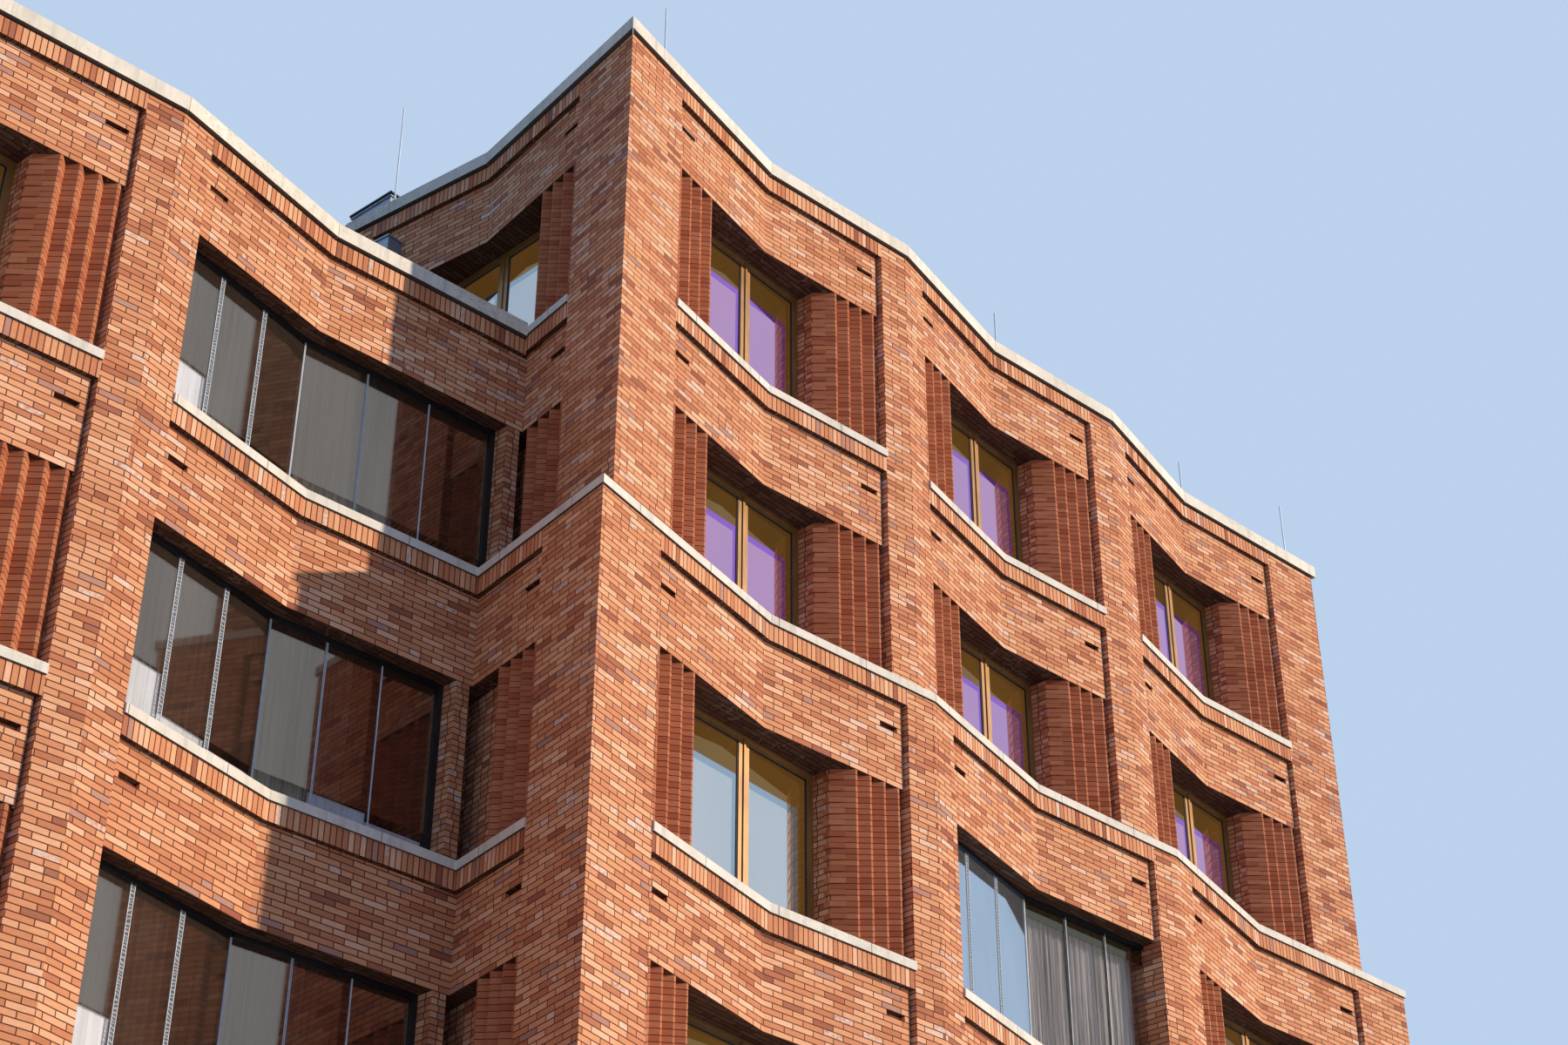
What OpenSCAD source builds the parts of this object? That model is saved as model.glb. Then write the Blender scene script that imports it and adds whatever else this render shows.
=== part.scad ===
// Corner apartment block: a seven-storey tower with a set-back top and a six-storey wing.
// X runs along the street front, Y into the building, Z up from the ground.
// The origin is on the ground below the front left corner of the set-back top.

/* [Storeys] */
// Floor to floor height
storey_h = 3125; // [3000:12.5:3300]
// Storeys of the tower
tower_storeys = 7; // [6:1:9]
// Storeys of the tower below the ledge
base_storeys = 5; // [3:1:5]
// Storeys of the wing
wing_storeys = 6; // [6:1:6]
// Height of a window sill's top above the floor
sill_level = 562.5; // [525:12.5:600]
// Height of a window opening
window_h = 1875; // [1700:12.5:1950]
// Thickness of a floor slab
slab_t = 250; // [180:10:300]
// Thickness of the ground slab
ground_slab_t = 100; // [80:10:150]

/* [Plan] */
// Width of the tower's set-back top along the street
top_w = 13560; // [13000:20:15000]
// Depth of the tower's set-back top
top_d = 13560; // [13000:20:15000]
// Bays on each side of the tower
tower_bays = 3; // [3:1:3]
// Set-back of the top at the two flanks
setback_x = 435; // [300:5:500]
// Set-back of the top at the front and back
setback_y = 295; // [200:5:400]
// Sideways drift of the left flank for each unit of depth
flank_skew = 0.055; // [0:0.005:0.08]
// Distance of the wing's front behind the top's front
wing_inset = 1600; // [1400:10:1900]
// Bays along the wing's front
wing_bays = 2; // [2:1:2]
// Bays on the wing's end
end_bays = 2; // [2:1:2]
// Width of a bay's panel on the wing
wing_panel_w = 3440; // [3200:10:3700]

/* [Facade] */
// Width of the masonry at a corner
corner_w = 850; // [750:10:1000]
// Width of a pier between bays
pier_w = 770; // [700:10:900]
// Depth that the folded face gains for each unit of length
fold = 0.137; // [0.08:0.001:0.15]
// Wall thickness, from a fold's ridge to the inner face
wall_t = 750; // [700:10:850]
// Depth of the panels behind the piers
panel_recess = 60; // [30:5:80]
// Width of the open joint beside a panel
joint_w = 30; // [20:2:45]
// Depth of the open joint beside a panel
joint_d = 50; // [30:5:70]
// Height of a soldier course
soldier_h = 187.5; // [180:2.5:260]
// Thickness of a sill and of the ledge's cap
sill_t = 95; // [60:2.5:110]
// Overhang of a sill and of the ledge's cap
sill_overhang = 25; // [15:5:80]
// Height of the tower's parapet above its roof
tower_parapet_h = 367.5; // [300:2.5:600]
// Height of the wing's parapet above its roof
wing_parapet_h = 417.5; // [300:2.5:600]
// Height of a coping
coping_h = 187.5; // [150:2.5:220]
// Height of the bed joint below a coping
coping_bed_h = 20; // [20:2:40]
// Overhang of a coping
coping_overhang = 45; // [40:5:90]
// Gap between two stones of a sill, cap or coping
stone_gap = 6; // [4:1:10]
// Width of an air slot in a panel
slot_w = 240; // [200:10:260]
// Height of an air slot
slot_h = 62.5; // [50:2.5:70]
// Depth of an air slot
slot_d = 60; // [40:5:80]
// Distance of an air slot from the panel's end
slot_inset = 60; // [40:10:350]
// Distance of an air slot below the soldier course
slot_drop = 280; // [230:2.5:350]

/* [Sawtooth jambs] */
// Teeth beside a window
teeth = 4; // [3:1:4]
// Distance between two teeth
tooth_pitch = 190; // [170:5:200]
// Depth of a tooth
tooth_d = 95; // [80:5:100]
// Width and depth of the splay between the last tooth and the window
splay = 180; // [150:5:200]

/* [Windows] */
// Depth of a window behind the folds' ridges
window_d = 610; // [580:5:640]
// Thickness of a window frame
frame_t = 60; // [50:5:80]
// Face width of a frame's bars
bar_w = 75; // [60:5:90]
// Face width of the middle bar
mullion_w = 150; // [120:5:180]
// Face width of the frame outside a sash
rebate_w = 30; // [20:2:40]
// Depth of a sash behind its frame's face
sash_step = 15; // [10:1:20]
// Thickness of a window's glass
glass_t = 24; // [20:2:30]

/* [Loggias] */
// Depth of the glass leaves behind the panel's face
leaf_d = 200; // [150:5:240]
// Thickness of a glass leaf
leaf_t = 12; // [10:1:16]
// Leaves on each side of the fold
leaves = 3; // [2:1:4]
// Gap between two leaves
leaf_gap = 8; // [5:1:12]
// Width of a rail
rail_w = 70; // [60:5:90]
// Height of a rail
rail_h = 45; // [40:5:60]
// Height of the lower panels
lower_panel_h = 850; // [700:10:1000]
// Thickness of the lower panels
lower_panel_t = 20; // [15:1:30]
// Width of the slim brick strip beside the tower
nib_w = 150; // [120:5:200]
// Width of the steel post
post_w = 60; // [50:5:80]
// Gap between the brick strip and the tower
nib_gap = 30; // [20:5:50]

/* [Entrance] */
// Width of the entrance's double door
door_w = 1800; // [1600:10:2000]
// Thickness of a door leaf
door_t = 60; // [50:5:70]
// Height of a door leaf's lower panel
door_panel_h = 300; // [250:10:400]
// Length of a door handle
handle_l = 600; // [400:10:800]
// Radius of a door handle
handle_r = 15; // [12:1:20]
// Distance of a door handle in front of the leaf
handle_out = 55; // [45:5:80]
// Height of a door handle's middle
handle_level = 1150; // [1050:10:1250]

/* [Roof] */
// Radius of a lightning rod
rod_r = 10; // [8:1:14]
// Height of a corner's lightning rod above the coping
rod_h = 1010; // [800:10:1100]
// Height of the lightning rods beside the folds
short_rod_h = 870; // [700:10:900]
// Distance of a short rod from the fold beside it
rod_shift = 470; // [300:10:700]
// Distance of the first rod from the left corner
rod_left = 755; // [500:5:900]
// Distance of the last rod from the right corner
rod_right = 135; // [120:5:400]
// Depth of a corner's rod behind the face
corner_rod_d = 200; // [150:10:300]
// Depth of a short rod behind the face
short_rod_d = 325; // [200:5:400]
// Height of the tall rod above the roof
tall_rod_h = 3300; // [3000:10:3500]
// Width of the roof vent
vent_w = 680; // [600:10:800]
// Height of the roof vent's lid above the roof
vent_h = 1950; // [1700:10:2100]
// Gap between the coping and the roof vent's lid
vent_gap = 107.5; // [80:2.5:150]
// Thickness of the vent's lid
lid_t = 25; // [20:5:40]
// Overhang of the vent's lid
lid_overhang = 30; // [20:5:50]
// Height of the open gap below the lid
lid_gap = 20; // [15:5:40]
// Width of the posts below the lid
lid_post_w = 40; // [30:5:50]
// Thickness of the vent's top rim
rim_t = 15; // [10:5:25]
// Overhang of the vent's top rim
rim_overhang = 20; // [15:1:28]
// Face width of the frame round the vent's sides
vent_frame_w = 70; // [50:5:90]
// Depth of the vent's sides behind their frame
vent_step = 15; // [10:1:25]
// Distance of the rainwater hopper from the pier
hopper_gap = 115; // [100:5:200]
// Distance of the hopper's lid below the roof
hopper_drop = 65; // [50:5:100]
// Width of the rainwater hopper
hopper_w = 300; // [260:10:340]
// Depth of the rainwater hopper
hopper_d = 200; // [180:5:220]
// Height of the rainwater hopper
hopper_h = 320; // [260:10:340]
// Thickness of the hopper's lid
hopper_lid_t = 20; // [10:1:25]
// Overhang of the hopper's lid
hopper_lid_overhang = 15; // [10:1:25]
// Radius of the rainwater pipe
pipe_r = 37; // [33:1:40]
// Gap between the rainwater pipe and a sill
pipe_gap = 10; // [5:1:20]
// Height of a pipe clamp
clamp_h = 40; // [30:5:50]
// Thickness of a pipe clamp round the pipe
clamp_t = 6; // [4:1:8]

/* [Hidden] */

// Volumes: the tower's base, its set-back top, and the wing
BASE = 0;
TOP = BASE + 1;
WING = TOP + 1;

// Sides of a volume. The wing's back mirrors its front.
FRONT = 0;
RIGHT = FRONT + 1;
BACK = RIGHT + 1;
LEFT = BACK + 1;
REAR = LEFT + 1;

brick = [0.66, 0.33, 0.21];
brick_panel = [0.71, 0.37, 0.24];
brick_soldier = [0.60, 0.29, 0.19];
brick_jamb = [0.50, 0.24, 0.17];
stone = [0.80, 0.78, 0.72];
bronze = [0.42, 0.33, 0.20];
dark_metal = [0.12, 0.12, 0.12];
concrete = [0.62, 0.61, 0.58];
zinc = [0.55, 0.57, 0.58];
clear_glass = [0.62, 0.66, 0.80, 0.55];

lintel_level = sill_level + window_h;
soldier_level = sill_level - sill_t - soldier_h;
ledge_z = base_storeys * storey_h + sill_level;
tower_roof_z = tower_storeys * storey_h;
wing_roof_z = wing_storeys * storey_h;
tower_top_z = tower_roof_z + tower_parapet_h;
wing_top_z = wing_roof_z + wing_parapet_h;
jamb_w = (teeth - 0.5) * tooth_pitch + splay;
INNER_BAY = wing_bays - 1;
wing_l = corner_w + wing_bays * wing_panel_w + (wing_bays - 0.5) * pier_w;
wing_d = 2 * corner_w + end_bays * wing_panel_w + (end_bays - 1) * pier_w;

// Corners of each volume's ridge planes
function x0(v) = [-setback_x, 0, -wing_l][v];
function x1(v) = [top_w + setback_x, top_w, 0][v];
function y0(v) = [-setback_y, 0, wing_inset][v];
function y1(v) = [top_d + setback_y, top_d, wing_inset + wing_d][v];

// Plan point of volume v, side q: s along the side, d into the wall
function left_point(v, s, d) =
    [x0(v) + d + (v == WING ? 0 : flank_skew * (y1(v) - s - y0(v))), y1(v) - s];
function plan(v, q, s, d) =
    q == FRONT ? [x0(v) + s, y0(v) + d] :
    q == RIGHT ? [x1(v) - d, y0(v) + s] :
    q == BACK ? [x1(v) - s, y1(v) - d] :
    q == LEFT ? left_point(v, s, d) :
    [x0(v) + s, y1(v) - d];

function side_l(v, q) =
    q == FRONT || q == REAR ? x1(v) - x0(v) :
    q == BACK ? x1(v) - left_point(v, 0, 0)[0] :
    y1(v) - y0(v);
function bays(v, q) = v != WING ? tower_bays : q == LEFT ? end_bays : wing_bays;
function panel_w(v, q) =
    v == WING ? wing_panel_w :
    (side_l(v, q) - 2 * corner_w - (bays(v, q) - 1) * pier_w) / bays(v, q);
function valley(v, q, i) = corner_w + panel_w(v, q) / 2 + i * (panel_w(v, q) + pier_w);
function bay_start(v, q, i) = valley(v, q, i) - panel_w(v, q) / 2;
function bay_end(v, q, i) = valley(v, q, i) + panel_w(v, q) / 2;
function valley_gap(v, q, s) = min([for (i = [0 : bays(v, q) - 1]) abs(s - valley(v, q, i))]);

// Points of the folded face, e behind it, and of the plane inner face
function face(v, q, s, e = 0) =
    plan(v, q, s, e + fold * ((panel_w(v, q) + pier_w) / 2 - valley_gap(v, q, s)));
function inner(v, q, s, e = 0) = plan(v, q, s, wall_t + e);

// Crossing of the line a-b with the line c-d
function cross2(a, b) = a[0] * b[1] - a[1] * b[0];
function meet(a, b, c, d) = a + (b - a) * cross2(c - a, d - c) / cross2(b - a, d - c);
function face_meet(v, q, r, e) =
    meet(
        face(v, q, side_l(v, q) - corner_w, e), face(v, q, side_l(v, q), e),
        face(v, r, 0, e), face(v, r, corner_w, e)
    );
function inner_meet(v, q, r, e = 0) =
    meet(
        inner(v, q, 0, e), inner(v, q, side_l(v, q), e),
        inner(v, r, 0, e), inner(v, r, side_l(v, r), e)
    );

// Depth along the tower's left side at which the wing's inner faces lie
function wing_s(v, q) = y1(v) - (q == FRONT ? y0(WING) + wall_t : y1(WING) - wall_t);

// Where the wing's folded face, ew behind it, meets the tower's left face, et behind that
function junction(v, q, ew, et) =
    meet(
        face(WING, q, valley(WING, q, INNER_BAY), ew), face(WING, q, bay_end(WING, q, INNER_BAY), ew),
        flank_a(v, q, et), flank_b(v, q, et)
    );
function flank_a(v, q, et) = face(v, LEFT, wing_s(v, q), et);
function flank_b(v, q, et) = face(v, LEFT, wing_s(v, q) + (q == FRONT ? 1 : -1) * wall_t / 2, et);

// End of a band at s along a side, k = 1 or -1 the way along it: a recessed panel has an
// open joint there, and a soldier course runs up to the masonry
function band_end(v, q, s, k, e) =
    e > 0
        ? [for (p = [[0, joint_d], [joint_w, joint_d], [joint_w, 0]]) face(v, q, s + k * p[0], e + p[1])]
        : [face(v, q, s, e)];
function back_to_front(points) = [for (i = [len(points) - 1 : -1 : 0]) points[i]];

// Outline of a band that fills a bay
function bay_outline(v, q, i, e) = concat(
    band_end(v, q, bay_start(v, q, i), 1, e),
    [face(v, q, valley(v, q, i), e)],
    back_to_front(band_end(v, q, bay_end(v, q, i), -1, e)),
    [inner(v, q, bay_end(v, q, i)), inner(v, q, bay_start(v, q, i))]
);

// Outline of the wing's bay beside the tower, cut off at the tower's face
function cut_outline(v, q, ew, et) = concat(
    band_end(WING, q, bay_start(WING, q, INNER_BAY), 1, ew),
    [
        face(WING, q, valley(WING, q, INNER_BAY), ew),
        junction(v, q, ew, et),
        flank_a(v, q, et),
        inner(WING, q, bay_start(WING, q, INNER_BAY))
    ]
);

// Outline of the tower's left bay beside the wing, up to the wing's inner face
function stub_outline(v, q, e) =
    let (pier = q == FRONT ? side_l(v, LEFT) - corner_w : corner_w)
    let (fold_s = q == FRONT ? [] : [valley(v, LEFT, 0)])
    concat(
        band_end(v, LEFT, pier, q == FRONT ? -1 : 1, e),
        [for (s = fold_s) face(v, LEFT, s, e)],
        [face(v, LEFT, wing_s(v, q), e), inner(v, LEFT, wing_s(v, q)), inner(v, LEFT, pier)]
    );

// Outline of the teeth beside a window: u from the pier, k = 1 or -1 the way along the side
function tooth_points(v, q, s, k) = [
    for (j = [0 : 2 * teeth - 1])
        face(v, q, s + k * j * tooth_pitch / 2, panel_recess + (j % 2 == 0 ? tooth_d : 0))
];
function jamb_outline(v, q, s, k) = concat(
    tooth_points(v, q, s, k),
    [face(v, q, s + k * jamb_w, panel_recess + splay), inner(v, q, s + k * jamb_w), inner(v, q, s)]
);
function stub_jamb_outline(v, q) =
    let (pier = q == FRONT ? side_l(v, LEFT) - corner_w : corner_w)
    let (k = q == FRONT ? -1 : 1)
    concat(
        tooth_points(v, LEFT, pier, k),
        [face(v, LEFT, pier + k * jamb_w, panel_recess + splay)],
        [face(v, LEFT, wing_s(v, q), panel_recess + splay)],
        [for (s = [wing_s(v, q), pier]) inner(v, LEFT, s)]
    );

// Outlines of the masonry at the ends of a side and between its bays
function corner_outline(v, q, r) = [
    face(v, q, side_l(v, q) - corner_w),
    face_meet(v, q, r, 0),
    face(v, r, corner_w),
    inner(v, r, corner_w),
    inner_meet(v, q, r),
    inner(v, q, side_l(v, q) - corner_w)
];
function pier_outline(v, q, i) =
    let (a = bay_end(v, q, i))
    let (b = bay_start(v, q, i + 1))
    [face(v, q, a), face(v, q, (a + b) / 2), face(v, q, b), inner(v, q, b), inner(v, q, a)];

// Corners, folds and ridges along a side, where the stones of a cap or coping meet
function stops(v, q) = concat(
    [0],
    [for (i = [0 : 2 * bays(v, q) - 2]) valley(v, q, 0) + i * (panel_w(v, q) + pier_w) / 2],
    [side_l(v, q)]
);

// A stone between two stops: over in front of the face, back to depth e behind the inner face.
// A stone at a corner is mitred.
function stone_outline(v, q, m, over, e) =
    let (list = stops(v, q))
    let (last = len(list) - 2)
    let (g = stone_gap / 2)
    let (a = list[m] + g)
    let (b = list[m + 1] - g)
    let (before = (q + 3) % 4)
    let (after = (q + 1) % 4)
    let (away = plan(v, q, 1, 0) - plan(v, q, 0, 0))
    [
        m == 0 ? face_meet(v, before, q, -over) + away * stone_gap : face(v, q, a, -over),
        m == last ? face_meet(v, q, after, -over) - away * stone_gap : face(v, q, b, -over),
        m == last ? inner_meet(v, q, after, e) - away * stone_gap : inner(v, q, b, e),
        m == 0 ? inner_meet(v, before, q, e) + away * stone_gap : inner(v, q, a, e)
    ];

module prism(outline, z, h) {
    translate([0, 0, z])
        linear_extrude(height = h)
            polygon(outline);
}

// Levels of a storey's bands
function panel_z(k) = k == 0 ? 0 : (k - 1) * storey_h + lintel_level;
function band_soldier_z(k) = k * storey_h + soldier_level;
function sill_z(k) = k * storey_h + sill_level - sill_t;
function window_z(k) = k * storey_h + sill_level;
function volume_of(k) = k < base_storeys ? BASE : TOP;

// The tower's left side is free of the wing from this storey up
function left_free(k) = k >= wing_storeys;

// The entrance takes the place of the front's middle window on the ground floor,
// and glazed loggias fill the middle bays of the storeys above it
ENTRANCE_BAY = floor(tower_bays / 2);
function is_entrance(v, q, i, k) = v == BASE && q == FRONT && i == ENTRANCE_BAY && k == 0;
function is_tower_loggia(v, q, i, k) = v == BASE && q == FRONT && i == ENTRANCE_BAY && k > 0;
function is_plain_window(v, q, i, k) = !is_entrance(v, q, i, k) && !is_tower_loggia(v, q, i, k);

// Tower

module tower_piers(v, z, h) {
    color(brick) {
        for (q = [FRONT : LEFT])
            prism(corner_outline(v, q, (q + 1) % 4), z, h);
        for (q = [FRONT, RIGHT, BACK], i = [0 : bays(v, q) - 2])
            prism(pier_outline(v, q, i), z, h);
    }
}

module base_piers() {
    tower_piers(BASE, 0, ledge_z - sill_t);
}

module top_piers() {
    low = panel_z(wing_storeys);
    tower_piers(TOP, ledge_z, tower_top_z - ledge_z);
    color(brick)
        for (i = [0 : bays(TOP, LEFT) - 2])
            prism(pier_outline(TOP, LEFT, i), low, tower_top_z - low);
}

// Places along a side at which the air slots of a panel start
function near_slot(v, q, i) = bay_start(v, q, i) + joint_w + slot_inset;
function far_slot(v, q, i) = bay_end(v, q, i) - joint_w - slot_inset - slot_w;
function slots(v, q, i) = [near_slot(v, q, i), far_slot(v, q, i)];
function stub_slot(v, q) = q == FRONT ? far_slot(v, LEFT, tower_bays - 1) : near_slot(v, LEFT, 0);

// A piece of a band at recess e, from z to z + h. A panel tall enough for them has air slots.
module band_piece(outline, v, q, starts, e, z, h) {
    low = z + h - slot_drop - slot_h;
    difference() {
        prism(outline, z, h);
        if (e > 0 && low > z + slot_h)
            for (a = starts)
                prism(run_outline(v, q, a, a + slot_w, e - slot_d, 2 * slot_d), low, slot_h);
    }
}

// One band of a volume's sides, with or without the left side's bays
module tower_band(v, k, e, z, h, left) {
    for (q = left ? [FRONT : LEFT] : [FRONT : BACK], i = [0 : bays(v, q) - 1])
        if (!is_entrance(v, q, i, k))
            band_piece(bay_outline(v, q, i, e), v, q, slots(v, q, i), e, z, h);
    if (!left)
        for (q = [FRONT, REAR])
            band_piece(stub_outline(v, q, e), v, LEFT, [stub_slot(v, q)], e, z, h);
}

module base_panels() {
    color(brick_panel)
        for (k = [0 : base_storeys])
            tower_band(BASE, k, panel_recess, panel_z(k), band_soldier_z(k) - panel_z(k), false);
}

module base_soldiers() {
    color(brick_soldier)
        for (k = [0 : base_storeys])
            tower_band(BASE, k, 0, band_soldier_z(k), soldier_h, false);
}

module top_panels() {
    color(brick_panel)
        for (k = [base_storeys + 1 : tower_storeys]) {
            roof = k == tower_storeys;
            top = roof ? tower_top_z - soldier_h : band_soldier_z(k);
            tower_band(TOP, k, panel_recess, panel_z(k), top - panel_z(k), left_free(k));
        }
}

module top_soldiers() {
    color(brick_soldier)
        for (k = [base_storeys + 1 : tower_storeys]) {
            z = k == tower_storeys ? tower_top_z - soldier_h : band_soldier_z(k);
            tower_band(TOP, k, 0, z, soldier_h, left_free(k));
        }
}

module storey_jambs(v, k, left) {
    for (q = left ? [FRONT : LEFT] : [FRONT : BACK], i = [0 : bays(v, q) - 1])
        if (is_plain_window(v, q, i, k)) {
            prism(jamb_outline(v, q, bay_start(v, q, i), 1), window_z(k), window_h);
            prism(jamb_outline(v, q, bay_end(v, q, i), -1), window_z(k), window_h);
        }
    if (!left)
        for (q = [FRONT, REAR])
            prism(stub_jamb_outline(v, q), window_z(k), window_h);
}

module base_jambs() {
    color(brick_jamb)
        for (k = [0 : base_storeys - 1])
            storey_jambs(BASE, k, false);
}

module top_jambs() {
    color(brick_jamb)
        for (k = [base_storeys : tower_storeys - 1])
            storey_jambs(TOP, k, left_free(k));
}

// A sill fills its bay from the overhang to the inner face
function sill_outline(v, q, i) = [
    face(v, q, bay_start(v, q, i), -sill_overhang),
    face(v, q, valley(v, q, i), -sill_overhang),
    face(v, q, bay_end(v, q, i), -sill_overhang),
    face(v, q, bay_end(v, q, i)),
    inner(v, q, bay_end(v, q, i)),
    inner(v, q, bay_start(v, q, i))
];
function stub_sill_outline(v, q) =
    let (pier = q == FRONT ? side_l(v, LEFT) - corner_w : corner_w)
    let (fold_s = q == FRONT ? [] : [valley(v, LEFT, 0)])
    concat(
        [face(v, LEFT, pier, -sill_overhang)],
        [for (s = fold_s) face(v, LEFT, s, -sill_overhang)],
        [junction(v, q, -sill_overhang, -sill_overhang), junction(v, q, 0, 0), flank_a(v, q, 0)],
        [inner(v, LEFT, wing_s(v, q)), inner(v, LEFT, pier)]
    );

module storey_sills(v, k, left) {
    for (q = left ? [FRONT : LEFT] : [FRONT : BACK], i = [0 : bays(v, q) - 1])
        if (!is_entrance(v, q, i, k))
            prism(sill_outline(v, q, i), sill_z(k), sill_t);
    if (!left)
        for (q = [FRONT, REAR])
            prism(stub_sill_outline(v, q), sill_z(k), sill_t);
}

module base_sills() {
    color(stone)
        for (k = [0 : base_storeys - 1])
            storey_sills(BASE, k, false);
}

module top_sills() {
    color(stone)
        for (k = [base_storeys + 1 : tower_storeys - 1])
            storey_sills(TOP, k, left_free(k));
}

// A window frame with two sashes that meet at the middle bar, and the sheet of glass behind it
module window_frame(v, q, i, k) {
    a = bay_start(v, q, i) + jamb_w;
    b = bay_end(v, q, i) - jamb_w;
    m = valley(v, q, i);
    z = window_z(k);
    difference() {
        prism(frame_outline(v, q, a, b), z, window_h);
        for (sash = [[a + rebate_w, m - rebate_w / 2], [m + rebate_w / 2, b - rebate_w]])
            prism(step_outline(v, q, sash[0], sash[1]), z + rebate_w, window_h - 2 * rebate_w);
        for (pane = [[a + bar_w, m - mullion_w / 2], [m + mullion_w / 2, b - bar_w]])
            prism(hole_outline(v, q, pane[0], pane[1]), z + bar_w, window_h - 2 * bar_w);
    }
}
function box_outline(v, q, a, b, d0, d1) = [
    plan(v, q, a, d0), plan(v, q, b, d0), plan(v, q, b, d1), plan(v, q, a, d1)
];
function frame_outline(v, q, a, b) = box_outline(v, q, a, b, window_d, window_d + frame_t);
function hole_outline(v, q, a, b) = box_outline(v, q, a, b, window_d - frame_t, window_d + 2 * frame_t);
function step_outline(v, q, a, b) = box_outline(v, q, a, b, window_d - frame_t, window_d + sash_step);
function glass_outline(v, q, a, b) =
    box_outline(v, q, a, b, window_d + frame_t, window_d + frame_t + glass_t);

module window_glass(v, q, i, k) {
    a = bay_start(v, q, i) + jamb_w;
    b = bay_end(v, q, i) - jamb_w;
    prism(glass_outline(v, q, a, b), window_z(k), window_h);
}

module storey_windows(v, k, left, glass) {
    for (q = left ? [FRONT : LEFT] : [FRONT : BACK], i = [0 : bays(v, q) - 1])
        if (is_plain_window(v, q, i, k)) {
            if (glass) window_glass(v, q, i, k);
            else window_frame(v, q, i, k);
        }
}

module base_frames() {
    color(bronze)
        for (k = [0 : base_storeys - 1])
            storey_windows(BASE, k, false, false);
}

module base_glass() {
    color(clear_glass)
        for (k = [0 : base_storeys - 1])
            storey_windows(BASE, k, false, true);
}

module top_frames() {
    color(bronze)
        for (k = [base_storeys : tower_storeys - 1])
            storey_windows(TOP, k, left_free(k), false);
}

module top_glass() {
    color(clear_glass)
        for (k = [base_storeys : tower_storeys - 1])
            storey_windows(TOP, k, left_free(k), true);
}

// The cap covers the ledge where the top is set back
module ledge_cap() {
    z = sill_z(base_storeys);
    color(stone) {
        for (q = [FRONT : BACK], m = [0 : len(stops(BASE, q)) - 2])
            prism(stone_outline(BASE, q, m, sill_overhang, 0), z, sill_t);
        for (q = [FRONT, REAR])
            prism(cap_end_outline(q), z, sill_t);
    }
}

// Stone on the left side between a corner and the wing, mitred at the corner
function cap_end_outline(q) =
    let (front = q == FRONT)
    let (sides = front ? [LEFT, FRONT] : [BACK, LEFT])
    let (away = plan(BASE, LEFT, front ? -1 : 1, 0) - plan(BASE, LEFT, 0, 0))
    let (tip = face_meet(BASE, sides[0], sides[1], -sill_overhang))
    let (room = inner_meet(BASE, sides[0], sides[1]))
    let (fold_s = front ? [] : [valley(BASE, LEFT, 0)])
    concat(
        [tip + away * stone_gap],
        [for (s = fold_s) face(BASE, LEFT, s, -sill_overhang)],
        [junction(BASE, q, -sill_overhang, -sill_overhang), junction(BASE, q, 0, 0), flank_a(BASE, q, 0)],
        [inner(BASE, LEFT, wing_s(BASE, q)), room + away * stone_gap]
    );

module coping_stone(outline_bed, outline_top, z) {
    prism(outline_bed, z, coping_bed_h);
    prism(outline_top, z + coping_bed_h, coping_h - coping_bed_h);
}

module tower_coping() {
    color(stone)
        for (q = [FRONT : LEFT], m = [0 : len(stops(TOP, q)) - 2])
            coping_stone(
                stone_outline(TOP, q, m, -coping_bed_h, 0),
                stone_outline(TOP, q, m, coping_overhang, coping_overhang / 2),
                tower_top_z
            );
}

function room_outline(v) = [for (q = [FRONT : LEFT]) inner_meet(v, q, (q + 1) % 4)];

module tower_floors() {
    color(concrete) {
        prism(room_outline(BASE), 0, ground_slab_t);
        for (k = [1 : base_storeys])
            prism(room_outline(BASE), k * storey_h - slab_t, slab_t);
        for (k = [base_storeys + 1 : tower_storeys - 1])
            prism(room_outline(TOP), k * storey_h - slab_t, slab_t);
    }
}

module tower_roof() {
    color(zinc)
        prism(room_outline(TOP), tower_roof_z - slab_t, slab_t);
}

// Wing

module wing_piers() {
    color(brick) {
        prism(corner_outline_mirrored(), 0, wing_top_z);
        prism(corner_outline_front(), 0, wing_top_z);
        for (q = [FRONT, REAR])
            prism(pier_outline(WING, q, 0), 0, wing_top_z);
        prism(pier_outline(WING, LEFT, 0), 0, wing_top_z);
    }
}
function corner_outline_front() = [
    face(WING, LEFT, side_l(WING, LEFT) - corner_w),
    wing_tip(FRONT, 0),
    face(WING, FRONT, corner_w),
    inner(WING, FRONT, corner_w),
    inner_meet(WING, LEFT, FRONT),
    inner(WING, LEFT, side_l(WING, LEFT) - corner_w)
];
function corner_outline_mirrored() = [
    face(WING, REAR, corner_w),
    wing_tip(REAR, 0),
    face(WING, LEFT, corner_w),
    inner(WING, LEFT, corner_w),
    inner_meet(WING, REAR, LEFT),
    inner(WING, REAR, corner_w)
];
function wing_tip(q, e) =
    let (end_s = q == FRONT ? side_l(WING, LEFT) : 0)
    let (end_t = q == FRONT ? side_l(WING, LEFT) - corner_w : corner_w)
    meet(
        face(WING, q, 0, e), face(WING, q, corner_w, e),
        face(WING, LEFT, end_s, e), face(WING, LEFT, end_t, e)
    );

// One band of the wing, with the bay beside the tower cut off at the tower's volume v
module wing_band(v, e, z, h) {
    for (q = [FRONT, REAR]) {
        band_piece(bay_outline(WING, q, 0, e), WING, q, slots(WING, q, 0), e, z, h);
        band_piece(cut_outline(v, q, e, e), WING, q, [near_slot(WING, q, INNER_BAY)], e, z, h);
    }
    for (i = [0 : end_bays - 1])
        band_piece(bay_outline(WING, LEFT, i, e), WING, LEFT, slots(WING, LEFT, i), e, z, h);
}

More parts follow.
